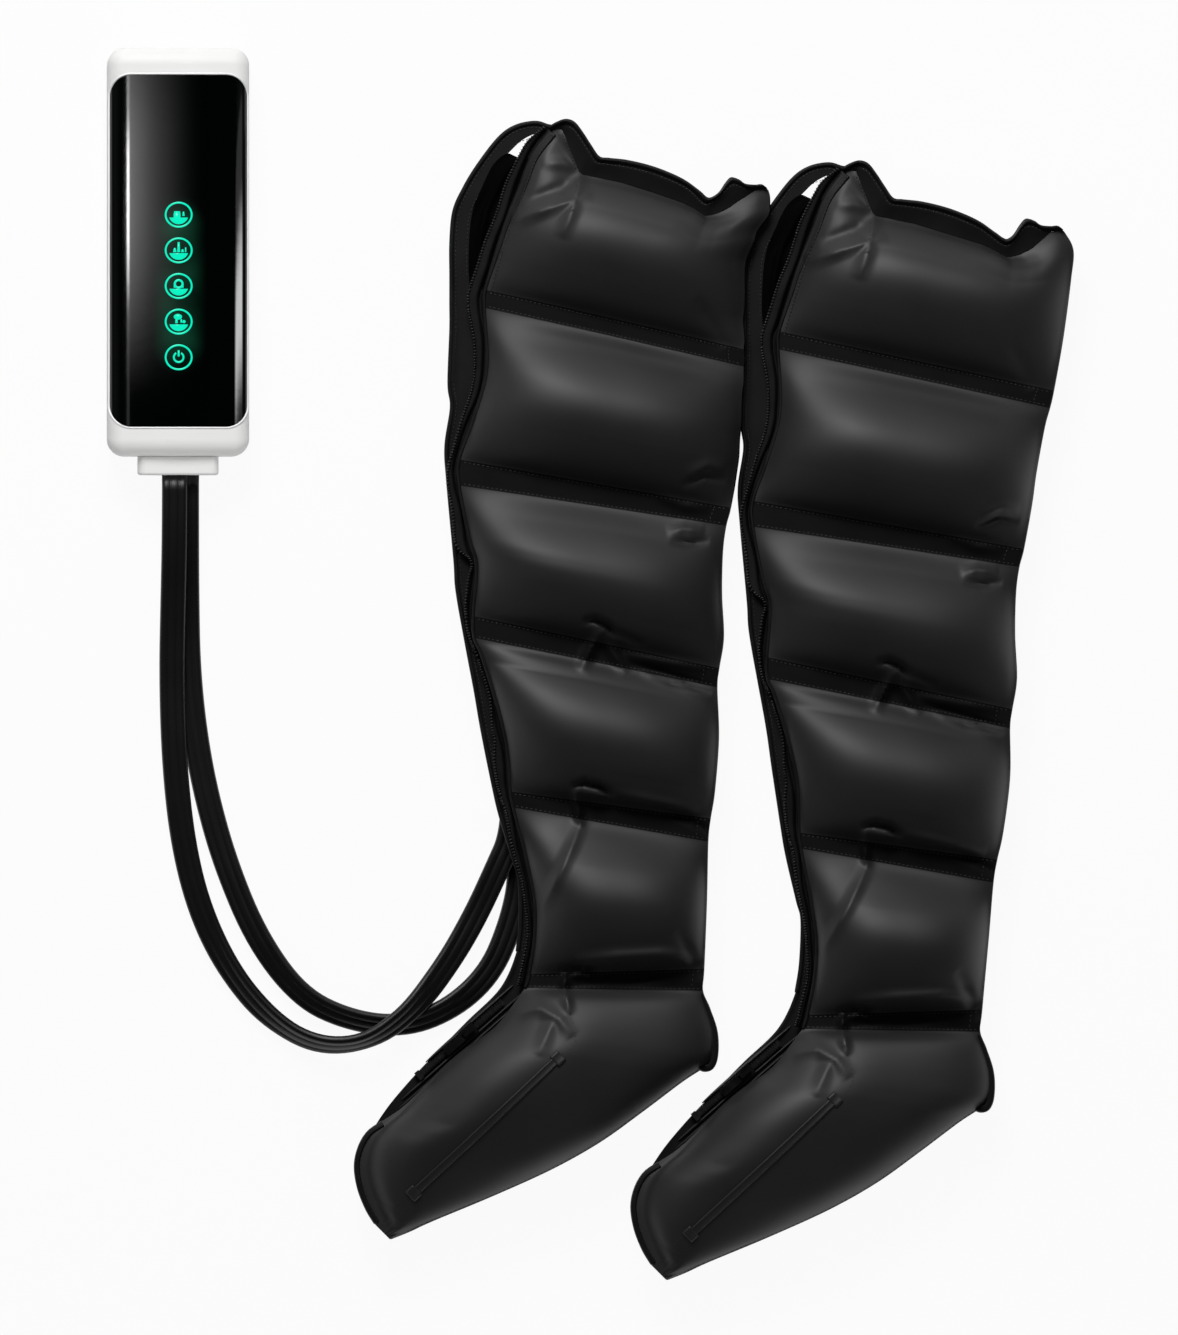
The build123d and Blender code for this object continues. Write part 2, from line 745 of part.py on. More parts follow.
def corner_radii(route):
    """The largest arc for each corner that its two runs leave room for."""
    radii = []
    for a, b, c in zip(route, route[1:], route[2:]):
        before, after = Vector(*b) - Vector(*a), Vector(*c) - Vector(*b)
        half_turn = math.radians(before.get_angle(after)) / 2
        radii.append(0.45 * min(before.length, after.length) / math.tan(half_turn))
    return radii


def line_through(route, radii):
    with BuildLine() as line:
        FilletPolyline(*route, radius=radii)
    return line.wire()


def ribbon_hose(route, name):
    """A flat hose with rounded edges, lying on its broad side all along its route."""
    radii = corner_radii(route)
    print(name, "radii", [round(r) for r in radii])
    above = line_through([(x, y, z + 100) for x, y, z in route], radii)
    with BuildPart() as hose:
        with BuildLine() as line:
            FilletPolyline(*route, radius=radii)
        with BuildSketch(Plane(route[0], x_dir=(1, 0, 0), z_dir=(0, -1, 0))):
            SlotOverall(hose_width, hose_thickness)
        sweep(path=line.wire(), binormal=above)
    area = (hose_width - hose_thickness) * hose_thickness + math.pi * hose_thickness**2 / 4
    length = sum(edge.length for edge in line.edges())
    print(name, "length", round(length), "volume share", round(hose.part.volume / (area * length), 4))
    keep(hose, name)


ribbon_hose(outer_route, "outer_hose")
ribbon_hose(inner_route, "inner_hose")


# ================================================================ sleeves
def stepped(point, right):
    """Where a point of the left sleeve lies on the right one."""
    if not right:
        return point
    share = min(max((point[1] - step_low) / (step_high - step_low), 0), 1)
    share = share * share * (3 - 2 * share)
    return (point[0] + foot_step + (mouth_step - foot_step) * share, point[1] + step_back)


def inset_line(points, distance):
    """The points moved to the left of their line by the given distance."""
    moved = []
    for i, point in enumerate(points):
        before, after = points[max(i - 1, 0)], points[min(i + 1, len(points) - 1)]
        along = Vector(after[0] - before[0], after[1] - before[1]).normalized()
        moved.append((point[0] - along.Y * distance, point[1] + along.X * distance))
    return moved


def section_lines(rows, right):
    """Each row's zip-side point and outer point on the table, with its crown."""
    lines = []
    for zip_point, outer_point, crown, squeeze in rows:
        if not right:
            outer_point = (outer_point[0] - squeeze, outer_point[1])
        lines.append((Vector(*stepped(zip_point, right)), Vector(*stepped(outer_point, right)), crown))
    return lines


def section_plane(low, high):
    """Upright plane through both points, its X running from the first to the second."""
    along = (high - low).normalized()
    return Plane((low.X, low.Y, 0), x_dir=along, z_dir=(along.Y, -along.X, 0))


def front_chamber(lines):
    """An inflated chamber of the front panel: flat inside, crowned outside."""
    with BuildPart() as chamber:
        for low, high, crown in lines:
            width = (high - low).length
            crest = front_base + crown
            edge = front_base + edge_thickness
            with BuildSketch(section_plane(low, high)):
                with BuildLine():
                    Line((0, edge), (0, front_base))
                    Line((0, front_base), (width, front_base))
                    Line((width, front_base), (width, edge - hem_drop))
                    Bezier(
                        (width, edge - hem_drop),
                        (0.97 * width, edge + 0.55 * (crown - edge_thickness)),
                        (0.80 * width, crest),
                        (0.52 * width, crest),
                    )
                    Bezier(
                        (0.52 * width, crest),
                        (0.26 * width, crest),
                        (0.03 * width, edge + 0.75 * (crown - edge_thickness)),
                        (0, edge),
                    )
                make_face()
        loft()
    return chamber


def back_chamber(lines):
    """The same chamber in the back panel, pressed flat where it lies on the table."""
    with BuildPart() as chamber:
        for low, high, crown in lines:
            width = (high - low).length
            deepest = 0 if crown > seam_crown else back_top - seam_thickness
            edge = back_top - seam_thickness
            with BuildSketch(section_plane(low, high)):
                with BuildLine():
                    Line((0, back_top), (0, edge))
                    Line((0, edge), (edge_tunnel, edge))
                    Bezier(
                        (edge_tunnel, edge),
                        (edge_tunnel + 0.08 * width, edge),
                        (0.30 * width, deepest),
                        (0.42 * width, deepest),
                    )
                    Line((0.42 * width, deepest), (0.70 * width, deepest))
                    Bezier(
                        (0.70 * width, deepest),
                        (0.85 * width, deepest),
                        (0.98 * width, 0.5 * (edge + deepest)),
                        (width, edge + hem_drop),
                    )
                    Line((width, edge + hem_drop), (width, back_top))
                    Line((width, back_top), (0, back_top))
                make_face()
        loft()
        # cut level with the table
        with BuildSketch():
            Rectangle(3 * mouth_step, 5 * mouth_step)
        extrude(amount=-back_top, mode=Mode.SUBTRACT)
    return chamber


def strip(outer, inner, low, thickness):
    """A flat piece between two smooth edges that run the same way."""
    with BuildPart() as piece:
        with BuildSketch(Plane.XY.offset(low)):
            with BuildLine():
                Spline(*outer)
                Line(outer[-1], inner[-1])
                Spline(*inner)
                Line(inner[0], outer[0])
            make_face()
        extrude(amount=thickness)
    return piece


def sleeve(side):
    right = side == "right"
    leg = section_lines(sections, right)
    foot = section_lines(foot_sections, right)
    zip_edge = [(low.X, low.Y) for low, high, crown in leg]
    outer_edge = [(high.X, high.Y) for low, high, crown in leg]
    back_parts = []
    for i, chamber_name in enumerate(chamber_names):
        lines = leg[3 * i : 3 * i + 4]
        keep(front_chamber(lines), f"{side}_{chamber_name}")
        back_parts.append(back_chamber(lines).part)
    keep(front_chamber(foot), f"{side}_foot")
    back_parts.append(back_chamber(foot).part)
    with BuildPart() as back_panel:
        add(back_parts)
    keep(back_panel, f"{side}_back_panel")

    # outer fold: joins the two panels down the outer edge, round the heel and along the sole
    sole = [(high.X, high.Y) for low, high, crown in foot[1:]]
    toe_end = foot[-1][0] * 0.3 + foot[-2][0] * 0.7
    toe = [(foot[-1][0].X, foot[-1][0].Y), (toe_end.X, toe_end.Y)]
    down = outer_edge + sole[:1]
    inner_down = inset_line(down, -fold_width)
    inner_sole = inset_line(sole, -fold_width)
    inner_toe = inset_line([sole[-1]] + toe, -fold_width)
    with BuildPart() as outer_fold:
        with BuildSketch(Plane.XY.offset(back_top)):
            with BuildLine():
                Spline(*down)
                Polyline(*sole, *toe)
                Polyline(toe[-1], inner_toe[-1], inner_toe[1], *reversed(inner_sole[1:-1]), inner_down[-1])
                Spline(*reversed(inner_down))
                Line(inner_down[0], down[0])
            make_face()
        extrude(amount=leg_gap)
    keep(outer_fold, f"{side}_outer_fold")

    # collar: the welded hem of both panels round the mouth
    rim = [stepped(p, right) for p in collar_top]
    corner = [stepped(p, right) for p in collar_corner] if right else collar_corner_pushed
    outline = [zip_edge[0], *rim, *corner, outer_edge[0]]
    with BuildPart() as collar:
        for low in (back_top - edge_thickness, front_base):
            with BuildSketch(Plane.XY.offset(low)):
                with BuildLine():
                    Polyline(*outline, close=True)
                make_face()
            extrude(amount=edge_thickness)
    keep(collar, f"{side}_collar")

    # zip flap of the back panel, with its loop over the mouth
    rim_line = [stepped(p, right) for p in flap_outer]
    window = [stepped(p, right) for p in flap_window]
    instep = [(low.X, low.Y) for low, high, crown in foot[1:-1]]
    seam = inset_line(zip_edge + instep, 8)
    with BuildPart() as zip_flap:
        with BuildSketch(Plane.XY.offset(back_top)):
            with BuildLine():
                Spline(*rim_line)
                Line(rim_line[-1], seam[-1])
                Spline(*reversed(seam))
                Line(seam[0], window[-1])
                Spline(*reversed(window))
                Line(window[0], rim_line[0])
            make_face()
        extrude(amount=flap_thickness)
    keep(zip_flap, f"{side}_zip_flap")

    # tape sewn under the free edge of the front panel
    tape = strip(
        inset_line(zip_edge, -tape_reach),
        inset_line(zip_edge, tape_reach),
        front_base - tape_thickness,
        tape_thickness,
    )
    keep(tape, f"{side}_zip_tape")

    # closed zip over the instep: a coil on a narrow neck, from the toe stop to the slider
    start, end = Vector(*stepped(track_low, right)), Vector(*stepped(track_high, right))
    along = (end - start).normalized()
    flap_top = back_top + flap_thickness
    track = Plane((start.X, start.Y, flap_top), x_dir=along, z_dir=(0, 0, 1))
    track_length = (end - start).length
    with BuildPart() as zip_chain:
        with BuildSketch(track):
            with Locations((track_length / 2, 0)):
                Rectangle(track_length, coil_neck)
        extrude(amount=coil_stand)
        with BuildSketch(track.offset(coil_stand)):
            with Locations((track_length / 2, 0)):
                Rectangle(track_length, coil_width)
        extrude(amount=coil_height)
        # cut into single teeth, down to the spine where both rows lock
        with BuildSketch(track.offset(coil_stand)):
            for side_y in (-1, 1):
                with Locations((track_length / 2, side_y * coil_width / 2)):
                    with GridLocations(tooth_pitch, 0, int(track_length / tooth_pitch) - 1, 1):
                        Rectangle(tooth_gap, coil_width - coil_neck)
        extrude(amount=coil_height, mode=Mode.SUBTRACT)
        with BuildSketch(track):
            with Locations((stop_length / 2, 0)):
                Rectangle(stop_length, coil_width + 2)
        extrude(amount=coil_stand + coil_height + stop_rise)
    keep(zip_chain, f"{side}_zip_chain")

    # slider: a channel round the coil, with an arch on its roof for the pull
    roof_low = coil_stand + coil_height + slider_clearance
    roof_top = roof_low + slider_roof
    channel = coil_width + 2 * slider_clearance
    lip_gap = coil_neck + 2 * slider_clearance
    end_on = Plane(
        (start.X + along.X * (slider_rest - slider_length / 2),
         start.Y + along.Y * (slider_rest - slider_length / 2), flap_top),
        x_dir=(-along.Y, along.X, 0), z_dir=(along.X, along.Y, 0),
    )
    with BuildPart() as slider:
        with BuildSketch(end_on):
            with BuildLine():
                lip_low = coil_stand - slider_clearance - lip_height
                lip_top = coil_stand - slider_clearance
                Polyline(
                    (-slider_width / 2, lip_low), (-lip_gap / 2, lip_low), (-lip_gap / 2, lip_top),
                    (-channel / 2, lip_top), (-channel / 2, roof_low), (channel / 2, roof_low),
                    (channel / 2, lip_top), (lip_gap / 2, lip_top), (lip_gap / 2, lip_low),
                    (slider_width / 2, lip_low), (slider_width / 2, roof_top),
                    (-slider_width / 2, roof_top), close=True,
                )
            make_face()
        extrude(amount=slider_length)
        side_on = Plane(
            (start.X + along.X * slider_rest - along.Y * arch_width / 2,
             start.Y + along.Y * slider_rest + along.X * arch_width / 2, flap_top + roof_top),
            x_dir=along, z_dir=(along.Y, -along.X, 0),
        )
        with BuildSketch(side_on):
            with Locations((0, (arch_height + 1.4) / 2)):
                Rectangle(9, arch_height + 1.4)
            with Locations((0, arch_height / 2)):
                Rectangle(6, arch_height, mode=Mode.SUBTRACT)
        extrude(amount=arch_width)
    keep(slider, f"{side}_zip_slider")

    # pull: a plate with two arms and a pin through the arch
    pin_height = flap_top + roof_top + arch_height / 2
    pull_plane = Plane(
        (start.X + along.X * slider_rest, start.Y + along.Y * slider_rest,
         pin_height - pull_thickness / 2),
        x_dir=along, z_dir=(0, 0, 1),
    )
    with BuildPart() as pull:
        with BuildSketch(pull_plane):
            with Locations((arm_reach - pull_length / 2, 0)):
                RectangleRounded(pull_length, pull_width, 1)
            with Locations((-2, 0)):
                Rectangle(8, arch_width + 0.6, mode=Mode.SUBTRACT)
            with Locations((2, 0)):
                Rectangle(4, arch_width + 0.6, mode=Mode.SUBTRACT)
        extrude(amount=pull_thickness)
        pin_plane = Plane(
            (start.X + along.X * slider_rest + along.Y * pull_width / 2,
             start.Y + along.Y * slider_rest - along.X * pull_width / 2, pin_height),
            x_dir=along, z_dir=(-along.Y, along.X, 0),
        )
        with BuildSketch(pin_plane):
            Circle(pin_radius)
        extrude(amount=pull_width)
    keep(pull, f"{side}_zip_pull")

    # port under the zip edge, where the hoses of this sleeve plug in
    port_point = stepped((port_x, port_front), right)
    with BuildPart() as port:
        with BuildSketch(Plane((port_point[0], port_point[1], table_clearance))):
            with Locations((0, port_depth / 2)):
                RectangleRounded(port_width, port_depth, 2)
        extrude(amount=port_height)
        front = Plane((port_point[0], port_point[1], 0), x_dir=(1, 0, 0), z_dir=(0, -1, 0))
        with BuildSketch(front):
            for height in hose_end_z:
                with Locations((0, height)):
                    with GridLocations(lane_pitch, 0, lanes, 1):
                        Circle(port_bore)
        extrude(amount=-port_bore_depth, mode=Mode.SUBTRACT)
    keep(port, f"{side}_air_port")


sleeve("left")
sleeve("right")
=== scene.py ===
import bpy
import bmesh
import math
import random
from mathutils import Matrix, Vector
from mathutils.bvhtree import BVHTree


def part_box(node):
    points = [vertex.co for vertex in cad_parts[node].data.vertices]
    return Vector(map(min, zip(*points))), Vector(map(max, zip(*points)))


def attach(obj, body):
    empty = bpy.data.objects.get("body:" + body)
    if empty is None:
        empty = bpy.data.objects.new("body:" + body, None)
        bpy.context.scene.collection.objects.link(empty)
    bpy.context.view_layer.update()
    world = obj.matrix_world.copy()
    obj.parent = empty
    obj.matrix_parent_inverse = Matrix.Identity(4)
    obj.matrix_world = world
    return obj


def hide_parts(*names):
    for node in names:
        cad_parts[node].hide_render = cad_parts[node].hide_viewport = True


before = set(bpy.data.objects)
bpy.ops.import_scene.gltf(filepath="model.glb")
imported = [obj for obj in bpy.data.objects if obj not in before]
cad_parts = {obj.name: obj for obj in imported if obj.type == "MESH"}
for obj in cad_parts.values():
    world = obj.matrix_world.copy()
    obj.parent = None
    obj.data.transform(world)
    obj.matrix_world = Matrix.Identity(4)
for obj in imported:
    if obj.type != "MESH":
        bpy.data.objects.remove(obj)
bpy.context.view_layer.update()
random.seed(7)

# ---------------------------------------------------------------- camera
# Looks straight down on the table from far above, leaning a little to the pump's side.
view_distance = 13.9
view_lean = math.radians(2.5)
view_middle = Vector((-0.0008, -0.0026, 0.0))
camera_data = bpy.data.cameras.new("camera")
camera_data.lens = 500
camera_data.sensor_width = 36
camera_data.clip_end = 60
camera = bpy.data.objects.new("camera", camera_data)
bpy.context.scene.collection.objects.link(camera)
camera.matrix_world = (
    Matrix.Translation(view_middle)
    @ Matrix.Rotation(-view_lean, 4, "Y")
    @ Matrix.Translation((0, 0, view_distance))
)
bpy.context.scene.camera = camera
bpy.context.scene.view_settings.view_transform = "Standard"


# ---------------------------------------------------------------- flat hoses
# Two flat air hoses extruded from soft black PVC, each three lanes side by side. They leave the
# plug one over the other, lie down on the table and roll on edge at the bottom of their loop.
def mm(*points):
    """Points in millimetres as vectors in metres."""
    return [Vector(p) / 1000 for p in points]


def link(name, mesh_or_curve):
    """An object of that data, at the origin, in the scene."""
    piece = bpy.data.objects.new(name, mesh_or_curve)
    bpy.context.scene.collection.objects.link(piece)
    return piece


def made(name, work, body, slot, *materials):
    """The finished bmesh as a piece that rides on a body, with its materials."""
    mesh = bpy.data.meshes.new(name)
    work.to_mesh(mesh)
    work.free()
    piece = link(name, mesh)
    for material in materials:
        mesh.materials.append(material)
    for face in mesh.polygons:
        face.use_smooth = True
    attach(piece, body)
    return piece


def rgb(code):
    """An sRGB hex colour as linear red, green, blue and alpha."""
    parts = [int(code[i : i + 2], 16) / 255 for i in (1, 3, 5)]
    return [c / 12.92 if c <= 0.04045 else ((c + 0.055) / 1.055) ** 2.4 for c in parts] + [1.0]


def add(material, kind, settings=(), links=()):
    """A node in the material, with its settings, and links of its inputs to other nodes' outputs."""
    node = material.node_tree.nodes.new(kind)
    for key, value in dict(settings).items():
        if isinstance(key, str) and hasattr(node, key):
            setattr(node, key, value)
        else:
            node.inputs[key].default_value = value
    for socket, (other, output) in dict(links).items():
        material.node_tree.links.new(other.outputs[output], node.inputs[socket])
    return node


def surface(name, **settings):
    """A new material and its shader, with plain numbers set on the shader's own sockets."""
    material = bpy.data.materials.new(name)
    material.use_nodes = True
    shader = material.node_tree.nodes["Principled BSDF"]
    for key, value in settings.items():
        shader.inputs[key.replace("_", " ").title().replace("Ior", "IOR")].default_value = value
    return material, shader


def wire(material, node, output, target, socket):
    material.node_tree.links.new(node.outputs[output], target.inputs[socket])


def grained(name, dark, light, least, most, patches, grain, strength, **settings):
    """A finish with uneven colour and gloss in patches, and a fine grain, sized in cycles a metre."""
    material, shader = surface(name, **settings)
    spot = add(material, "ShaderNodeTexCoord")
    cloud = add(material, "ShaderNodeTexNoise", {"Scale": patches, "Detail": 3},
                {"Vector": (spot, "Object")})
    fine = add(material, "ShaderNodeTexNoise", {"Scale": grain, "Detail": 2},
               {"Vector": (spot, "Object")})
    share = add(material, "ShaderNodeMapRange", {"From Min": 0.3, "From Max": 0.7},
                {"Value": (cloud, "Fac")})
    tint = add(material, "ShaderNodeMix", {"data_type": "RGBA", 6: rgb(dark), 7: rgb(light)},
               {0: (share, "Result")})
    gloss = add(material, "ShaderNodeMapRange", {"To Min": least, "To Max": most},
                {"Value": (share, "Result")})
    relief = add(material, "ShaderNodeBump", {"Strength": strength, "Distance": 0.0003},
                 {"Height": (fine, "Fac")})
    wire(material, tint, 2, shader, "Base Color")
    wire(material, gloss, "Result", shader, "Roughness")
    wire(material, relief, "Normal", shader, "Normal")
    return material


# extruded soft PVC: near black, slick, with faint patches of duller gloss and a fine skin relief
hose_pvc, shader = surface(
    "extruded_soft_pvc", base_color=rgb("#070708"), roughness=0.26, ior=1.5
)
spot = add(hose_pvc, "ShaderNodeTexCoord")
cloudy = add(
    hose_pvc, "ShaderNodeTexNoise", {"Scale": 45, "Detail": 3}, {"Vector": (spot, "Object")}
)
dull = add(
    hose_pvc,
    "ShaderNodeMapRange",
    {"To Min": 0.4, "To Max": 0.48},
    {"Value": (cloudy, "Fac")},
)
wire(hose_pvc, dull, "Result", shader, "Roughness")
skin = add(
    hose_pvc, "ShaderNodeTexNoise", {"Scale": 900, "Detail": 2}, {"Vector": (spot, "Object")}
)
relief = add(
    hose_pvc,
    "ShaderNodeBump",
    {"Strength": 0.03, "Distance": 0.0002},
    {"Height": (skin, "Fac")},
)
wire(hose_pvc, relief, "Normal", shader, "Normal")

lane_width = 6.3
hose_width = 19.0
groove_depth = 0.5
outer_route = mm(
    (-312, 141.2, 27),
    (-312, 98, 26),
    (-313, 46, 17),
    (-314, -10, 12),
    (-312, -74, 11.3),
    (-305.5, -134, 8.5),
    (-293, -184, 7),
    (-272, -228, 7.5),
    (-243, -264, 9.2),
    (-207, -286, 12.2),
    (-168, -284, 19),
    (-134, -260, 18),
    (-106, -223, 10.5),
    (-86, -188, 8.8),
    (-70.5, -154, 12.2),
    (-58, -126, 11.6),
    (-58, -96, 11.6),
)
inner_route = mm(
    (-303, 141.2, 19),
    (-303, 100, 17.5),
    (-302.5, 48, 6.5),
    (-301.5, -2, 3.7),
    (-296.5, -52, 3.7),
    (-287.5, -100, 4.0),
    (-273, -151, 5.0),
    (-250, -206, 7.4),
    (-218, -249, 9.2),
    (-182, -266.5, 9.4),
    (-142, -272, 8.4),
    (-105, -259, 6.2),
    (-75, -232, 4.2),
    (-59, -194, 3.7),
    (-51.5, -158, 3.6),
    (-58, -124, 3.9),
    (-58, -96, 3.9),
)
# how far the hose rolls on edge along its length: share of the length, degrees
outer_roll = [(0, 0), (0.3, 0), (0.45, 14), (0.55, 34), (0.62, 52), (0.68, 58), (0.73, 42),
              (0.79, 18), (0.86, 4), (1, 0)]
inner_roll = [(0, 0), (0.35, 0), (0.48, 14), (0.58, 32), (0.66, 38), (0.73, 28), (0.8, 8),
              (0.88, 0), (1, 0)]


def blended(table, share):
    """The value at a share in a table of (share, value), eased between its rows."""
    for (low, before), (high, after) in zip(table, table[1:]):
        if share <= high:
            t = (share - low) / (high - low)
            t = t * t * (3 - 2 * t)
            return before + (after - before) * t
    return table[-1][1]


def smooth_points(name, route, steps):
    """Points along the route's smooth line, read from its own spline."""
    data = bpy.data.curves.new(name, "CURVE")
    data.dimensions = "3D"
    data.resolution_u = steps
    spline = data.splines.new("NURBS")
    spline.points.add(len(route) - 1)
    for point, place in zip(spline.points, route):
        point.co = (*place, 1)
    spline.order_u = 3
    spline.use_endpoint_u = True
    carrier = link(name, data)
    line = bpy.data.meshes.new_from_object(carrier)
    points = [v.co.copy() for v in line.vertices]
    bpy.data.objects.remove(carrier)
    return points


def along_path(work, ring, points, frames):
    """Carries an edge ring along the points, leaving skin behind. frames turns it at each point."""
    edges = list({e for v in ring for e in v.link_edges})
    for i in range(1, len(points)):
        grown = bmesh.ops.extrude_edge_only(work, edges=edges)["geom"]
        ring = [g for g in grown if isinstance(g, bmesh.types.BMVert)]
        edges = [g for g in grown if isinstance(g, bmesh.types.BMEdge)]
        step = Matrix.Translation(points[i]) @ frames[i] @ frames[i - 1].inverted()
        bmesh.ops.transform(
            work, matrix=step @ Matrix.Translation(-points[i - 1]), verts=ring
        )
    return edges


def flat_frames(points, roll):
    """For each point, axes whose X lies across the path and whose Z looks up, rolled by the table."""
    lengths = [0.0]
    for a, b in zip(points, points[1:]):
        lengths.append(lengths[-1] + (b - a).length)
    frames = []
    for i, here in enumerate(points):
        ahead = (points[min(i + 1, len(points) - 1)] - points[max(i - 1, 0)]).normalized()
        across = ahead.cross(Vector((0, 0, 1))).normalized()
        above = across.cross(ahead)
        turn = Matrix.Rotation(math.radians(blended(roll, lengths[i] / lengths[-1])), 3, ahead)
        axes = Matrix((turn @ across, ahead, turn @ above)).transposed()
        frames.append(axes.to_4x4())
    return frames, lengths[-1]


def flat_hose(name, route, roll, replaced):
    """A ribbon of three round lanes, carried along its route."""
    points = smooth_points(name + "_line", route, 7)
    frames, length = flat_frames(points, roll)
    work = bmesh.new()
    circle = bmesh.ops.create_circle(work, cap_ends=False, radius=1.0, segments=96)["verts"]
    for v in circle:
        around = math.atan2(v.co.y, v.co.x)
        x = (1 - 2 * abs(around) / math.pi) * hose_width / 2
        # full height along the middle of each lane, a groove between lanes, round at both edges
        lobe = abs(math.cos(math.pi * x / lane_width))
        height = 3.25 - groove_depth * (1 - lobe) ** 1.25
        if abs(x) > lane_width:
            height = 3.25 * math.sqrt(max(0.0, 1 - ((abs(x) - lane_width) / (hose_width / 2 - lane_width)) ** 2))
        v.co = Vector((x, 0, math.copysign(height, around))) / 1000
    start = Matrix.Translation(points[0]) @ frames[0]
    bmesh.ops.transform(work, matrix=start, verts=circle)
    last = along_path(work, circle, points, frames)
    bmesh.ops.holes_fill(work, edges=[e for e in work.edges if e.is_boundary], sides=0)
    bmesh.ops.recalc_face_normals(work, faces=work.faces)
    piece = made(name, work, "sleeve_set", "hose_black", hose_pvc)
    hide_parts(replaced)
    print(name, "length", round(length, 4))
    return piece


flat_hose("outer_flat_hose", outer_route, outer_roll, "outer_hose")
flat_hose("inner_flat_hose", inner_route, inner_roll, "inner_hose")

# ---------------------------------------------------------------- pump
# A white housing in two shells. A glossy black panel wraps over its domed top and five touch keys
# shine through it. The pieces inside keep the shapes of their CAD nodes.
def dress(material, *nodes):
    """Gives the objects of these CAD nodes this material."""
    for node in nodes:
        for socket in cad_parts[node].material_slots:
            socket.material = material


# moulded ABS: white, spark-eroded satin. The plug is the same plastic.
moulded_abs = grained("moulded_white_abs", "#e5e5e4", "#eaeae9", 0.5, 0.62, 12, 1800, 0.06)
dress(moulded_abs, "front_shell", "back_shell", "hose_plug")
# what lies inside the housing
circuit_board = grained("solder_mask", "#0d3b24", "#155334", 0.3, 0.45, 220, 900, 0.3)
dress(circuit_board, "touch_board", "main_board", "charge_board")
bright_steel = grained("turned_steel", "#8d8f92", "#a9abad", 0.22, 0.38, 90, 2500, 0.1, metallic=1.0)
dress(bright_steel, "housing_screws", "charge_port", "pump_rotor", "pump_motor")
black_plastic = grained("black_nylon", "#141415", "#1c1c1e", 0.42, 0.56, 60, 1600, 0.12)
dress(black_plastic, "battery_holder", "pump_crankcase", "pump_valve_head", "valve_manifold",
      "solenoid_valves", "hose_socket", "left_air_port", "right_air_port")
soft_rubber = grained("silicone_rubber", "#2b2c2e", "#343538", 0.6, 0.75, 80, 1400, 0.15)
dress(soft_rubber, "rubber_feet", "nozzle_seals", "pump_diaphragm")
clear_silicone = grained("milky_silicone", "#cfd4d2", "#dde1df", 0.35, 0.5, 80, 900, 0.1)
dress(clear_silicone, "air_tube", "channel_tubes", "light_guides")
cell_wrap = grained("shrink_wrap_blue", "#1d4f86", "#27609c", 0.25, 0.4, 70, 700, 0.08)
dress(cell_wrap, "battery_cells")

pump_low, pump_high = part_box("touch_lens")
lens_x = (pump_low.x + pump_high.x) / 2 * 1000
lens_y = (pump_low.y + pump_high.y) / 2 * 1000
lens_top = pump_high.z * 1000
crown_radius = 400.0
key_pitch = 26.6
key_ys = [lens_y - 26.3 + key_pitch * (i - 2) for i in range(5)]

# back-painted acrylic: deep black and mirror smooth. Round the keys it glows dark green.
panel_acrylic, shader = surface("black_acrylic_panel", base_color=rgb("#020303"), ior=1.49)
spot = add(panel_acrylic, "ShaderNodeTexCoord")
peel = add(panel_acrylic, "ShaderNodeTexNoise", {"Scale": 130, "Detail": 2}, {"Vector": (spot, "Object")})
wipe = add(panel_acrylic, "ShaderNodeTexNoise", {"Scale": 34, "Detail": 4}, {"Vector": (spot, "Object")})
gloss = add(panel_acrylic, "ShaderNodeMapRange", {"To Min": 0.02, "To Max": 0.05}, {"Value": (wipe, "Fac")})
wire(panel_acrylic, gloss, "Result", shader, "Roughness")
relief = add(panel_acrylic, "ShaderNodeBump", {"Strength": 0.02, "Distance": 0.0002}, {"Height": (peel, "Fac")})
wire(panel_acrylic, relief, "Normal", shader, "Normal")
# distance from the column of keys, in glow radii
parts = add(panel_acrylic, "ShaderNodeSeparateXYZ", (), {0: (spot, "Object")})
aside = add(panel_acrylic, "ShaderNodeMath", {"operation": "SUBTRACT", 1: lens_x / 1000}, {0: (parts, "X")})
aside = add(panel_acrylic, "ShaderNodeMath", {"operation": "DIVIDE", 1: 0.024}, {0: (aside, "Value")})
along = add(panel_acrylic, "ShaderNodeMath", {"operation": "SUBTRACT", 1: key_ys[2] / 1000}, {0: (parts, "Y")})
along = add(panel_acrylic, "ShaderNodeMath", {"operation": "ABSOLUTE"}, {0: (along, "Value")})
along = add(
    panel_acrylic,
    "ShaderNodeMapRange",
    {"From Min": 0.04, "From Max": 0.072, "To Min": 0.0, "To Max": 1.0},
    {"Value": (along, "Value")},
)
far = add(panel_acrylic, "ShaderNodeCombineXYZ", (), {0: (aside, "Value"), 1: (along, "Result")})
far = add(panel_acrylic, "ShaderNodeVectorMath", {"operation": "LENGTH"}, {0: (far, "Vector")})
glow = add(
    panel_acrylic,
    "ShaderNodeMapRange",
    {"interpolation_type": "SMOOTHERSTEP", "From Min": 0.1, "From Max": 1.0, "To Min": 0.12, "To Max": 0.0},
    {"Value": (far, "Value")},
)
cloud = add(panel_acrylic, "ShaderNodeTexNoise", {"Scale": 30, "Detail": 1}, {"Vector": (spot, "Object")})
cloud = add(
    panel_acrylic,
    "ShaderNodeMapRange",
    {"From Min": 0.35, "From Max": 0.65, "To Min": 0.35, "To Max": 1.0},
    {"Value": (cloud, "Fac")},
)
glow = add(
    panel_acrylic, "ShaderNodeMath", {"operation": "MULTIPLY"}, {0: (glow, "Result"), 1: (cloud, "Result")}
)
wire(panel_acrylic, glow, "Value", shader, "Emission Strength")
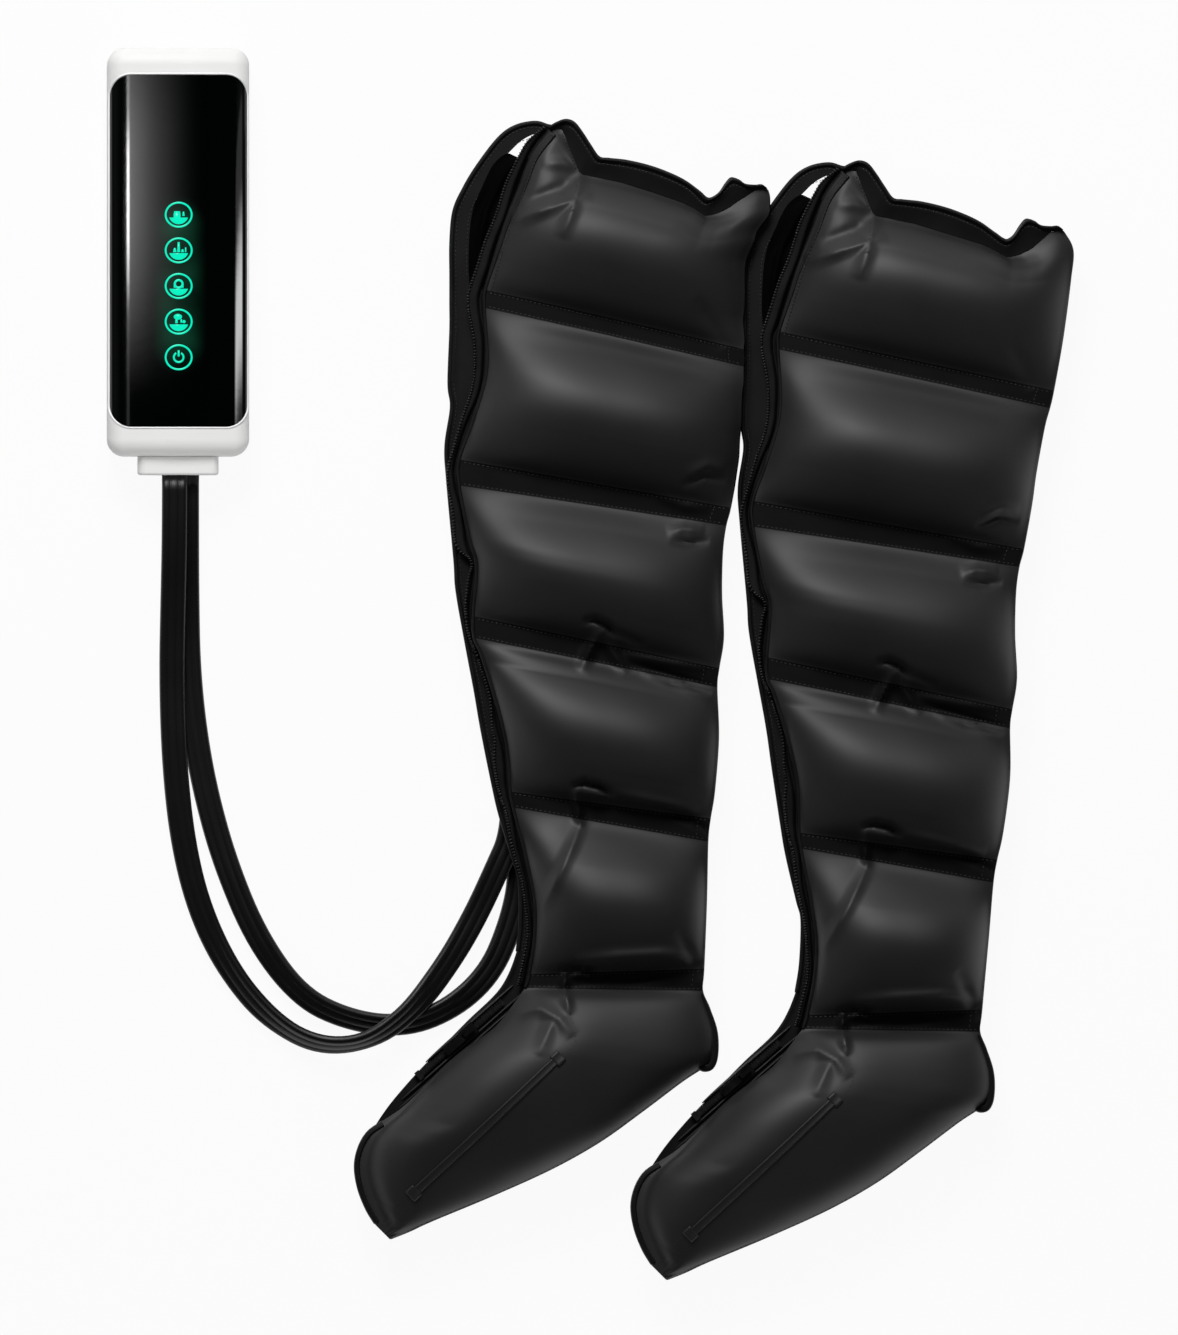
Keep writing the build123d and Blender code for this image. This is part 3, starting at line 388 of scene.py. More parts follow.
shader.inputs["Emission Color"].default_value = rgb("#2f9a72")
dress(panel_acrylic, "touch_lens")

# lit keys: turquoise light behind etched lines, a little uneven
lit_key, shader = surface("lit_key_lines", base_color=rgb("#00140f"), roughness=0.3)
spot = add(lit_key, "ShaderNodeTexCoord")
uneven = add(lit_key, "ShaderNodeTexNoise", {"Scale": 260, "Detail": 2}, {"Vector": (spot, "Object")})
power = add(lit_key, "ShaderNodeMapRange", {"To Min": 0.86, "To Max": 1.06}, {"Value": (uneven, "Fac")})
wire(lit_key, power, "Result", shader, "Emission Strength")
shader.inputs["Emission Color"].default_value = rgb("#06f7c8")


def disc(work, x, y, half_width, half_height, segments=40):
    """A flat oval face, in millimetres from the middle of the key."""
    place = Matrix.Translation((x, y, 0)) @ Matrix.Diagonal((half_width, half_height, 1, 1))
    verts = bmesh.ops.create_circle(work, cap_ends=True, radius=1, segments=segments, matrix=place)
    return verts["verts"][0].link_faces[0]


def ring(work, x, y, half_width, half_height, stroke, gap=0):
    """An oval line. gap leaves it open at the top by that many degrees each way."""
    place = Matrix.Translation((x, y, 0)) @ Matrix.Diagonal((half_width, half_height, 1, 1))
    rim = bmesh.ops.create_circle(work, cap_ends=False, radius=1, segments=48, matrix=place)["verts"]
    edges = list({e for v in rim for e in v.link_edges})
    grown = bmesh.ops.extrude_edge_only(work, edges=edges)["geom"]
    inner = [g for g in grown if isinstance(g, bmesh.types.BMVert)]
    shrink = Matrix.Diagonal((1 - stroke / half_width, 1 - stroke / half_height, 1, 1))
    middle = Matrix.Translation((x, y, 0))
    bmesh.ops.transform(work, matrix=middle @ shrink @ middle.inverted(), verts=inner)
    opened = []
    for part in [g for g in grown if isinstance(g, bmesh.types.BMFace)]:
        centre = part.calc_center_median()
        if math.degrees(abs(math.atan2(centre.x - x, centre.y - y))) < gap:
            opened.append(part)
    bmesh.ops.delete(work, geom=opened, context="FACES")


def bar(work, x, y, width, height, top=0):
    """An upright bar with its foot at y. top narrows its upper end."""
    place = Matrix.Translation((x, y + height / 2, 0)) @ Matrix.Diagonal((width, height, 1, 1))
    verts = bmesh.ops.create_grid(work, x_segments=1, y_segments=1, size=0.5, matrix=place)["verts"]
    for v in verts:
        if v.co.y > y + height / 2:
            v.co.x = x + (v.co.x - x) * (1 - top)


def cut_below(work, face, y):
    """Keeps what lies below that height."""
    geom = [face, *face.edges, *face.verts]
    bmesh.ops.bisect_plane(work, geom=geom, plane_co=(0, y, 0), plane_no=(0, 1, 0), clear_outer=True)


def key_sign(number):
    """A ring with a bowl in its lower half and a plain shape over it. The last is the power sign."""
    work = bmesh.new()
    if number == 4:
        ring(work, 0, 0, 4.3, 4.3, 1.4, gap=28)
        bar(work, 0, 0.6, 1.5, 4.6)
    else:
        cut_below(work, disc(work, 0, 0, 7.3, 7.1), -2.1)
    if number == 0:
        cut_below(work, disc(work, -1.2, -0.8, 2.6, 6.0), 2.6)
        bar(work, 3.6, -0.9, 1.8, 3.2, top=0.4)
    elif number == 1:
        bar(work, 0, -1.4, 2.2, 7.6, top=0.3)
        bar(work, -2.9, -1.4, 2.6, 3.2, top=0.5)
        bar(work, 2.9, -1.4, 2.4, 2.2, top=0.5)
        bar(work, 5.2, -1.4, 1.0, 3.6)
    elif number == 2:
        ring(work, 0, 1.6, 3.7, 3.6, 1.6)
        bar(work, -2.9, -1.3, 1.6, 2.2)
        bar(work, 2.9, -1.3, 1.6, 2.2)
    elif number == 3:
        disc(work, -0.6, 3.6, 3.1, 2.2)
        bar(work, -1.6, -1.2, 2.0, 3.0, top=0.2)
        bar(work, 2.0, -0.8, 1.6, 2.6, top=0.3)
        disc(work, 4.0, 0.0, 1.2, 1.2, segments=16)
    ring(work, 0, 0, 10.4, 9.7, 1.35)
    # laid on the domed panel, a hair proud of it
    grown = bmesh.ops.extrude_face_region(work, geom=work.faces[:])["geom"]
    bmesh.ops.translate(work, verts=[g for g in grown if isinstance(g, bmesh.types.BMVert)], vec=(0, 0, 1))
    for v in work.verts:
        x, y, raised = v.co
        dome = math.sqrt(crown_radius**2 - x**2) - crown_radius
        v.co = Vector((lens_x + x, key_ys[4 - number] + y, lens_top + dome - 0.05 + 0.12 * raised)) / 1000
    bmesh.ops.recalc_face_normals(work, faces=work.faces)
    return work


for number in range(5):
    made(f"key_sign_{number + 1}", key_sign(number), "pump_unit", "light_diffuser", lit_key)

# a fine bead runs round the panel, where the shell meets it. Its near-pure white, whiter than the housing, is a painted
# highlight along the panel's edge
lens_half_width, lens_half_length, lens_corner = 51.2, 131.45, 16.0
shell_skin = BVHTree.FromObject(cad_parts["front_shell"], bpy.context.evaluated_depsgraph_get())


def rim_place(angle, out):
    """A point on the rounded outline of the panel, moved outward, seen from its middle."""
    straight_x, straight_y = lens_half_width - lens_corner, lens_half_length - lens_corner
    x, y = math.cos(angle), math.sin(angle)
    x, y = math.copysign(abs(x) ** 0.35, x), math.copysign(abs(y) ** 0.35, y)
    corner = math.atan2(abs(y), abs(x))
    radius = lens_corner + out
    if corner < 0.6:
        return math.copysign(lens_half_width + out, x), straight_y * math.copysign(min(1, abs(y / x) / math.tan(0.6)), y)
    if corner > math.pi / 2 - 0.6:
        return straight_x * math.copysign(min(1, abs(x / y) / math.tan(0.6)), x), math.copysign(lens_half_length + out, y)
    turn = (corner - 0.6) / (math.pi / 2 - 1.2) * math.pi / 2
    return (math.copysign(straight_x + radius * math.cos(turn), x),
            math.copysign(straight_y + radius * math.sin(turn), y))


bead = bmesh.new()
loop = bmesh.ops.create_circle(bead, radius=1, segments=720)["verts"]
edges = list({e for v in loop for e in v.link_edges})
first = edges
bead_profile = [(0.05, -0.3), (0.1, 0.3), (0.75, 0.5), (1.4, 0.3), (1.45, -0.3)]
for _ in bead_profile[1:]:
    grown = bmesh.ops.extrude_edge_only(bead, edges=edges)["geom"]
    edges = [g for g in grown if isinstance(g, bmesh.types.BMEdge)]
    bmesh.ops.translate(bead, verts=[g for g in grown if isinstance(g, bmesh.types.BMVert)], vec=(0, 0, 1))
bmesh.ops.bridge_loops(bead, edges=first + edges)
for v in bead.verts:
    out, lift = bead_profile[round(v.co.z)]
    x, y = rim_place(math.atan2(v.co.y, v.co.x), out)
    ground_x, ground_y = rim_place(math.atan2(v.co.y, v.co.x), 0.6)
    hit = shell_skin.ray_cast(Vector((lens_x + ground_x, lens_y + ground_y, 90)) / 1000, Vector((0, 0, -1)))[0]
    v.co = Vector(((lens_x + x) / 1000, (lens_y + y) / 1000, hit.z + lift / 1000))
bmesh.ops.recalc_face_normals(bead, faces=bead.faces)
# near-pure white: a painted highlight, standing in for the light that the bead's polished edge catches
bead_painted_highlight = grained("white_abs_painted_highlight", "#fcfcfc", "#ffffff", 0.2, 0.3, 12, 1800, 0.02)
made("panel_bead", bead, "pump_unit", "housing_white", bead_painted_highlight)


# ---------------------------------------------------------------- sleeves: how they lie
# Both sleeves are sewn to one pattern. The right one lies a step to the right and lower, and its
# zip flap pushes in the outer edge of the left one. Every piece is made once, then laid twice.
foot_step, mouth_step, step_back = 207.0, 219.75, -30.75
pushed_in = [(130, 0), (150, 0.5), (175, 2.2), (208, 6.4), (225, 9.8), (238, 12.8), (262, 17.5),
             (300, 21.5), (320, 16.8), (341, 7.5), (356, 2), (420, 0)]


def laid(side, place):
    """Where a point of the pattern, in metres, lies on that sleeve."""
    x, y, z = place.x * 1000, place.y * 1000, place.z
    if side == "left":
        if y > 130 and x > -90:
            share = min(1.0, (x + 90) / 215)
            x -= blended(pushed_in, y) * share**2
        return Vector((x / 1000, y / 1000, z))
    share = min(max((y + 290) / 300, 0), 1)
    share = share * share * (3 - 2 * share)
    return Vector(((x + foot_step + (mouth_step - foot_step) * share) / 1000,
                   (y + step_back) / 1000, z))


def pair(name, work, slot, nodes, *materials, crease_angle=None):
    """Lays the finished piece on both sleeves. It stands for the named nodes of its sleeve."""
    pieces = []
    for side in ("left", "right"):
        copy = work.copy()
        for v in copy.verts:
            v.co = laid(side, v.co)
        piece = made(f"{side}_{name}", copy, "sleeve_set", slot, *materials)
        if crease_angle:
            piece.data.set_sharp_from_angle(angle=math.radians(crease_angle))
        if nodes:
            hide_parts(*[f"{side}_{node}" for node in nodes])
        pieces.append(piece)
    work.free()
    return pieces


def smooth_at(points, share):
    """A point at a share of the way along a smooth line through the points."""
    steps = [0.0]
    for a, b in zip(points, points[1:]):
        steps.append(steps[-1] + math.dist(a, b))
    want = share * steps[-1]
    i = max(k for k in range(len(points) - 1) if steps[k] <= want + 1e-9)
    t = (want - steps[i]) / (steps[i + 1] - steps[i])
    p0 = points[i - 1] if i else [2 * a - b for a, b in zip(points[0], points[1])]
    p1, p2 = points[i], points[i + 1]
    p3 = points[i + 2] if i + 2 < len(points) else [2 * a - b for a, b in zip(p2, p1)]
    return [
        0.5 * (2 * b + (c - a) * t + (2 * a - 5 * b + 4 * c - d) * t * t + (3 * b - a - 3 * c + d) * t**3)
        for a, b, c, d in zip(p0, p1, p2, p3)
    ]


# ---------------------------------------------------------------- sleeves: air chambers
# The front of a sleeve is one panel of coated nylon over a welded bladder. Flat welded bands cross
# it, and the chambers between them swell: five down the leg and one over the foot.
# coated nylon: satin black, a very fine even grain, a soft wide shine on the swollen parts
coated_nylon, shader = surface(
    "coated_nylon", base_color=rgb("#1e1e20"), roughness=0.55, ior=1.47, specular_ior_level=0.66,
)
shader.inputs["Sheen Weight"].default_value = 0.02
spot = add(coated_nylon, "ShaderNodeTexCoord")
grain = add(
    coated_nylon, "ShaderNodeTexNoise", {"Scale": 1400, "Detail": 2}, {"Vector": (spot, "Object")}
)
handled = add(
    coated_nylon, "ShaderNodeTexNoise", {"Scale": 14, "Detail": 4}, {"Vector": (spot, "Object")}
)
gloss = add(
    coated_nylon,
    "ShaderNodeMapRange",
    {"From Min": 0.3, "From Max": 0.7, "To Min": 0.53, "To Max": 0.59},
    {"Value": (handled, "Fac")},
)
wire(coated_nylon, gloss, "Result", shader, "Roughness")
shade = add(
    coated_nylon,
    "ShaderNodeMapRange",
    {"From Min": 0.3, "From Max": 0.7, "To Min": 0.0, "To Max": 1.0},
    {"Value": (handled, "Fac")},
)
tint = add(
    coated_nylon,
    "ShaderNodeMix",
    {"data_type": "RGBA", 6: rgb("#1c1c1e"), 7: rgb("#212123")},
    {0: (shade, "Result")},
)
wire(coated_nylon, tint, 2, shader, "Base Color")
relief = add(
    coated_nylon, "ShaderNodeBump", {"Strength": 0.12, "Distance": 0.0002}, {"Height": (grain, "Fac")}
)
wire(coated_nylon, relief, "Normal", shader, "Normal")
# the welded bands are pressed flat. Their nylon is made darker and duller than the panels' to paint the shade that
# falls in the furrows between the chambers
band_nylon_painted_shade = grained("band_nylon_painted_shade", "#09090a", "#0d0d0e", 0.56, 0.66, 30, 1400, 0.1,
                       specular_ior_level=0.16)

# mouth end of the panel: a seam line with the share of the width at each point
mouth_seam = [(0, -31.5, 399), (0.055, -22.5, 399.8), (0.13, -9, 366.3), (0.3, 22, 360),
              (0.5, 52.5, 350.6), (0.62, 72, 344.6), (0.7, 82, 340), (0.76, 90.8, 335), (0.82, 100, 336.6),
              (0.87, 109.5, 341.3), (0.92, 118.5, 349), (0.96, 125, 355), (1, 133, 355.5)]
# each part of the panel from mouth to toe: rows of mesh, zip side, outer side, swell
panel_parts = [
    (32, [(-31.5, 399), (-45, 381), (-54.8, 356.2), (-64.5, 331.5), (-72, 308.2), (-80.3, 279.8)],
     [(133, 355.5), (140.5, 341), (138.8, 318.8), (133, 275), (126, 235.5)], 31),
    (5, [(-80.3, 279.8), (-81, 266.3)], [(126, 235.5), (123, 222.4)], 0),
    (32, [(-81, 266.3), (-79.5, 220.5), (-89.2, 183.8), (-99.8, 153)],
     [(123, 222.4), (119.2, 208.5), (113, 175), (109.5, 150), (103.5, 117)], 36),
    (6, [(-99.8, 153), (-99.8, 133.5)], [(103.5, 117), (100, 103.5)], 0),
    (28, [(-99.8, 133.5), (-92.2, 93), (-87, 73.5), (-89.3, 36)],
     [(100, 103.5), (97.5, 84), (96.8, 52.5), (98.2, 20), (94.8, -3)], 32),
    (6, [(-89.3, 36), (-88.5, 19.5)], [(94.8, -3), (93.3, -17.3)], 0),
    (32, [(-88.5, 19.5), (-81.8, 3), (-66, -52.5), (-61.5, -95.3)],
     [(93.3, -17.3), (94.5, -54.8), (91.5, -95.2), (88.3, -115.5)], 33),
    (5, [(-61.5, -95.3), (-59.3, -107.3)], [(88.3, -115.5), (86.5, -132.8)], 0),
    (32, [(-59.3, -107.3), (-49.5, -147), (-43.5, -177), (-43.5, -204), (-47.3, -231.8)],
     [(86.5, -132.8), (85.5, -177), (83.5, -228)], 34),
    (4, [(-47.3, -231.8), (-50.3, -242.3)], [(83.5, -228), (82.5, -244.5)], 0),
    (66, [(-50.3, -242.3), (-60, -255.8), (-70.5, -269.2), (-82.5, -279), (-96, -288),
          (-112.5, -302.2), (-129, -319.5), (-144, -333), (-157.5, -342), (-168, -349.5),
          (-174.8, -360.8), (-177.8, -375), (-175.5, -391.5), (-169.5, -407.2), (-162.8, -418.5)],
     [(82.5, -244.5), (88, -258), (93, -276), (92, -292), (84, -301), (67.5, -312), (37.5, -334.5), (6, -357),
      (-30, -377.2), (-75, -397.5), (-120, -416.2), (-136.5, -423.8), (-151.5, -429.8)], 36),
]
band_height = 38.0
edge_height = 34.5
columns = 60
panel_rows = sum(part[0] for part in panel_parts)


def swell(x, power, root):
    """0 at both ends of 0 to 1, 1 in the middle, with a quick rise at the ends."""
    return max(0.0, 1 - abs(2 * x - 1) ** power) ** root if 0 < x < 1 else 0.0


def panel_point(across, row):
    """A point of the front panel in millimetres, from its share across and its row."""
    start = 0
    for number, (rows, zip_side, outer_side, crown) in enumerate(panel_parts):
        if row <= start + rows:
            break
        start += rows
    t = (row - start) / rows
    left, right = smooth_at(zip_side, t), smooth_at(outer_side, t)
    x = left[0] + (right[0] - left[0]) * across
    y = left[1] + (right[1] - left[1]) * across
    if number == 0:
        for (u0, x0, y0), (u1, x1, y1) in zip(mouth_seam, mouth_seam[1:]):
            if across <= u1 + 1e-6:
                k = (across - u0) / (u1 - u0)
                bend = (1 - t) ** 2.2
                first, last = mouth_seam[0], mouth_seam[-1]
                x += bend * (x0 + (x1 - x0) * k - first[1] - (last[1] - first[1]) * across)
                y += bend * (y0 + (y1 - y0) * k - first[2] - (last[2] - first[2]) * across)
                break
    width = math.dist(left, right)
    margin = 6.5 - 4.7 * t if number == 0 else 1.6
    if number == len(panel_parts) - 1:
        margin += 34 * max(0, t - 0.22) ** 2
    inner = (across * width - margin) / (width - margin - 2)
    rise = crown * swell(inner, 2.8, 0.7)
    if number == len(panel_parts) - 1:
        rise *= math.sin(math.pi * (0.03 + 0.95 * t**0.8)) ** 0.7 * (1 - 0.5 * t * t)
        rise *= 1 + 0.12 * math.sin(2 * math.pi * min(max(inner, 0), 1))
    else:
        rise *= math.sin(math.pi * t**1.1) ** (1.3 - 0.62 * t)
    z = edge_height + (band_height - edge_height) * (1 - abs(2 * across - 1) ** 4) + rise
    return x, y, z


def cloth_swell(work, held, cap):
    """Lets air pressure push the sheet out for a moment, then keeps each point's move under a cap."""
    mesh = bpy.data.meshes.new("blown_panel")
    work.to_mesh(mesh)
    sheet = link("blown_panel", mesh)
    group = sheet.vertex_groups.new(name="welded")
    group.add([v.index for v in work.verts if v in held], 1.0, "REPLACE")
    cloth = sheet.modifiers.new("cloth", "CLOTH")
    cloth.settings.quality = 5
    cloth.settings.mass = 0.25
    cloth.settings.tension_stiffness = 8
    cloth.settings.compression_stiffness = 8
    cloth.settings.shear_stiffness = 4
    cloth.settings.bending_stiffness = 4
    cloth.settings.use_pressure = True
    cloth.settings.uniform_pressure_force = 4
    cloth.settings.effector_weights.gravity = 0
    cloth.settings.vertex_group_mass = "welded"
    for number in range(1, 21):
        bpy.context.scene.frame_set(number)
    blown = sheet.evaluated_get(bpy.context.evaluated_depsgraph_get()).data
    for v, after in zip(work.verts, blown.vertices):
        move = after.co - v.co
        if move.length > cap:
            move *= cap / move.length
        v.co += move
    bpy.context.scene.frame_set(1)
    bpy.data.objects.remove(sheet)
    # the taut cloth evens out
    free = [v for v in work.verts if v not in held]
    for _ in range(4):
        bmesh.ops.smooth_vert(work, verts=free, factor=0.5, use_axis_x=False, use_axis_y=False, use_axis_z=True)


panel = bmesh.new()
bmesh.ops.create_grid(panel, x_segments=columns, y_segments=panel_rows, size=1)
for face in panel.faces:
    row, start = (1 - face.calc_center_median().y) / 2 * panel_rows, 0
    for rows, zip_side, outer_side, crown in panel_parts:
        if start < row < start + rows and crown == 0:
            face.material_index = 1
        start += rows
welded = set()
for v in panel.verts:
    across, row = (v.co.x + 1) / 2, round((1 - v.co.y) / 2 * panel_rows)
    across = 0.6 * across + 0.4 * (1 - math.cos(math.pi * across)) / 2
    v.co = Vector(panel_point(across, row)) / 1000
    start = 0
    for rows, zip_side, outer_side, crown in panel_parts:
        if start <= row <= start + rows and (crown == 0 or row in (0, panel_rows)):
            welded.add(v)
        start += rows
    if v.is_boundary:
        welded.add(v)
bmesh.ops.recalc_face_normals(panel, faces=panel.faces)
if sum(f.normal.z for f in panel.faces) < 0:
    bmesh.ops.reverse_faces(panel, faces=panel.faces)
panel.verts.ensure_lookup_table()
cloth_swell(panel, welded, 0.006)

# doubled density, so that pinches and creases have room
for _ in range(1):
    bmesh.ops.subdivide_edges(panel, edges=panel.edges, cuts=1, use_grid_fill=True)
inner_cloth = [v for v in panel.verts if not v.is_boundary]
for _ in range(3):
    bmesh.ops.smooth_vert(panel, verts=inner_cloth, factor=0.5, use_axis_x=False, use_axis_y=False, use_axis_z=True)


raised = {}


def ridge(points, height, half_width, sharp=False):
    """Notes a ridge, or a crease, along a line on the panel, fading at its ends."""
    line = [Vector(p) / 1000 for p in points]
    total = sum((b - a).length for a, b in zip(line, line[1:]))
    low_x, high_x = min(p.x for p in line), max(p.x for p in line)
    low_y, high_y = min(p.y for p in line), max(p.y for p in line)
    reach = 3 * half_width / 1000
    for v in panel.verts:
        x, y = v.co.x, v.co.y
        if x < low_x - reach or x > high_x + reach or y < low_y - reach or y > high_y + reach:
            continue
        best, done = None, 0.0
        for a, b in zip(line, line[1:]):
            ab = b - a
            k = min(1.0, max(0.0, (Vector((x, y)) - a).dot(ab) / ab.length_squared))
            gap = (Vector((x, y)) - a - ab * k).length
            if best is None or gap < best[0]:
                best = (gap, (done + ab.length * k) / total)
            done += ab.length
        fade = min(1.0, 3 * best[1], 3 * (1 - best[1])) ** 0.7
        gap = best[0] * 1000 / half_width
        share = max(0, 1 - gap / 2.4) ** 1.5 if sharp else math.exp(-gap * gap)
        move = height / 1000 * fade * share
        most, least = raised.get(v, (0.0, 0.0))
        raised[v] = (max(most, move), min(least, move))


# pinches where a band gathers the cloth, and the long soft creases that run out of them
for points, height, half_width, sharp in [
    # gusset under the ear at the mouth
    ([(-27, 404), (-16, 386), (-9, 368), (-8, 362)], 2.6, 2.6, True),
    ([(-8, 372), (-10.5, 358), (-15, 339), (-22, 318)], 4.2, 3.8, True),
    ([(-38, 374), (-22, 374), (-8, 369)], 2.4, 3.0, True),
    ([(-60, 331), (-40, 338), (-12, 347), (0, 351)], 5.0, 3.8, True),
    ([(-50, 346), (-34, 352), (-18, 359)], -2.6, 4.0, False),
    # band below the second chamber: cloth gathered at its outer end
    ([(66, 133), (84, 141), (100, 137)], -3.2, 2.6, False),
    ([(70, 141), (86, 149), (100, 146)], 2.6, 3.2, True),
    ([(46, 128), (68, 119), (88, 116)], 2.4, 4.4, False),
    ([(56, 98), (68, 101), (84, 99)], 3.4, 3.6, True),
    ([(58, 92), (72, 90), (88, 92)], -3.0, 2.6, False),
    # band below the third chamber: a pinch like a small knot
    ([(-8, 32), (2, 33), (10, 29), (20, 20)], -7.5, 2.5, False),
    ([(-9, -6), (-1, 12), (5, 22), (9, 28)], 5.6, 3.2, True),
    ([(4, 26), (12, 14), (26, -8)], 3.8, 3.2, True),
    ([(14, 26), (26, 20), (40, 14)], -3.4, 2.4, False),
    ([(44, -8), (60, -14), (90, -22)], -2.6, 2.6, False),
    # band below the fourth chamber: a fold that stands up, and a long crease down the calf
    ([(-16, -91.5), (-6, -88.5), (5, -91), (16, -99)], -7.5, 2.4, False),
    ([(-13, -94), (-3, -96.5), (13, -99)], 3.6, 2.2, True),
    ([(-13, -92), (-11.5, -106), (-8, -124)], 6.0, 2.6, True),
    ([(-6, -112), (-12, -128), (-22, -150), (-40, -186)], 3.6, 3.4, True),
    # band over the ankle
    ([(-26, -230), (-12, -226.5), (6, -229)], -6.5, 2.4, False),
    ([(-22, -234), (-8, -232.5), (8, -236)], 3.6, 2.2, True),
    ([(-20, -226), (-21, -243), (-18, -262)], 6.0, 2.8, True),
    ([(-12, -238), (20, -236), (60, -232)], -3.0, 4.2, False),
    ([(-14, -222), (16, -219), (50, -217), (84, -219)], 5.0, 4.6, False),
    ([(-58, -262), (-40, -257), (-26, -265), (-16, -278)], 3.8, 3.8, True),
    ([(-27, -260), (-33, -272), (-42, -292)], 2.8, 3.6, True),
    ([(50, -108), (76, -118), (92, -130)], -3.0, 2.8, False),
    ([(22, 8), (52, 2), (86, -4)], 3.0, 4.2, False),
    ([(26, 1), (60, -9), (90, -17)], -2.6, 2.6, False),
    ([(14, -96), (46, -103), (80, -110)], 3.2, 4.2, False),
    ([(36, -6), (62, -14), (90, -26)], 2.4, 2.8, True),
    ([(90, 274), (104, 252), (110, 236)], -2.0, 5.5, False),
    ([(62, -198), (74, -218), (82, -236)], -3.0, 4.4, False),
]:
    ridge(points, height, half_width, sharp)
for v, (most, least) in raised.items():
    v.co.z += most + least

panel_skin = BVHTree.FromBMesh(panel)


def on_panel(x, y, above=0.0):
    """The point of the front panel's surface over a place given in millimetres."""
    hit = panel_skin.ray_cast(Vector((x / 1000, y / 1000, 0.3)), Vector((0, 0, -1)))[0]
    if hit is None:
        hit = panel_skin.find_nearest(Vector((x / 1000, y / 1000, 0.036)))[0]
    return hit + Vector((0, 0, above / 1000))


rim = [e for e in panel.edges if e.is_boundary]
walls = bmesh.ops.extrude_edge_only(panel, edges=rim)["geom"]
for v in walls:
    if isinstance(v, bmesh.types.BMVert):
        v.co.z = 0.0325
bmesh.ops.holes_fill(panel, edges=[e for e in panel.edges if e.is_boundary], sides=0)
bmesh.ops.recalc_face_normals(panel, faces=panel.faces)
front_nodes = ["upper_thigh", "lower_thigh", "knee", "calf", "ankle", "foot"]
for piece in pair("front_panel", panel, "sleeve_black", front_nodes, coated_nylon, band_nylon_painted_shade,
                  crease_angle=50):
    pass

# ---------------------------------------------------------------- sleeves: binding, hems and seams
# The edges of the panels are bound with ribbed nylon tape. Rows of black thread run along the
# welded bands, the bindings and the hem of the mouth.
# nylon tape: dull black, with a fine grain, a little fuzzy
nylon_tape = grained("woven_nylon_tape", "#0b0b0c", "#121213", 0.5, 0.62, 60, 2600, 0.25,
                     specular_ior_level=0.24)
# uncoated nylon: the flap, the hem and the lining are duller and darker than the panels; the lining's near-black colour
# and faint shine also paint the shade inside the sleeve's opening
flap_cloth = grained("uncoated_nylon", "#0f0f11", "#141416", 0.54, 0.62, 40, 2200, 0.15,
                     specular_ior_level=0.22)
# black lining cloth, with colour and shine cut almost to nothing: partly its own colour, partly painted shade
lining_cloth_and_shade = grained("taffeta_and_painted_shade", "#010101", "#030303", 0.66, 0.78, 40, 2200, 0.15,
                       specular_ior_level=0.03)
# polyester thread: slightly greyer and shinier than the cloth it holds
thread = grained("polyester_thread", "#202022", "#2c2c2f", 0.42, 0.55, 300, 4000, 0.15)


def walk(points, step):
    """Evenly spaced points, about a step apart, along a smooth line through the points."""
    total = sum(math.dist(a, b) for a, b in zip(points, points[1:]))
    count = max(2, round(total / step))
    return [smooth_at(points, i / count) for i in range(count + 1)]


def beside(points, distance):
    """The line moved sideways, to the left of the way it runs."""
    moved = []
    for i, point in enumerate(points):
        before, after = points[max(i - 1, 0)], points[min(i + 1, len(points) - 1)]
        run = math.dist(before, after)
        moved.append((point[0] - (after[1] - before[1]) / run * distance,
                      point[1] + (after[0] - before[0]) / run * distance))
    return moved


def shaped(columns, rows, place):
    """A closed slab of mesh. place(u, t, layer) lays each corner: layer 1 on top, 0 below."""
    work = bmesh.new()
    bmesh.ops.create_grid(work, x_segments=columns, y_segments=rows, size=0.5,
                          matrix=Matrix.Translation((0.5, 0.5, 1)))
    grown = bmesh.ops.extrude_face_region(work, geom=work.faces[:])["geom"]
    low = [g for g in grown if isinstance(g, bmesh.types.BMVert)]
    bmesh.ops.translate(work, verts=low, vec=(0, 0, -1))
    for v in work.verts:
        v.co = Vector(place(*v.co)) / 1000
    bmesh.ops.recalc_face_normals(work, faces=work.faces)
    return work


def between(left, right, u, t):
    """The place between two smooth lines, t along them and u from the left one to the right."""
    a, b = smooth_at(left, t), smooth_at(right, t)
    return a[0] + (b[0] - a[0]) * u, a[1] + (b[1] - a[1]) * u


def stitches(work, line, ground, pitch=3.4, length=2.3, width=0.75, height=0.5):
    """Adds a row of thread stitches along a line. ground(x, y) is what they lie on."""
    spots = walk(line, pitch)
    for a, b in zip(spots, spots[1:]):
        start, end = ground(a[0], a[1]), ground(b[0], b[1])
        ahead = end - start
        if ahead.length > 2 * pitch / 1000:
            continue
        turn = ahead.to_track_quat("X", "Z").to_matrix().to_4x4()
        size = Matrix.Diagonal((length / 1000, width / 1000, height / 1000, 1))
        bmesh.ops.create_cube(
            work, size=1, matrix=Matrix.Translation((start + end) / 2) @ turn @ size
        )


def rounded(pieces, levels=1):
    """Softens finished pieces with a subdivision surface."""
    for piece in pieces:
        soft = piece.modifiers.new("rounding", "SUBSURF")
        soft.levels = soft.render_levels = levels


zip_line = [p for part in panel_parts[:-1] for p in part[1]]
zip_line = [p for i, p in enumerate(zip_line) if i == 0 or p != zip_line[i - 1]]
outer_line = [p for part in panel_parts[:-1] for p in part[2]]
outer_line = [p for i, p in enumerate(outer_line) if i == 0 or p != outer_line[i - 1]]
foot_zip_line, foot_outer_line = panel_parts[-1][1], panel_parts[-1][2]

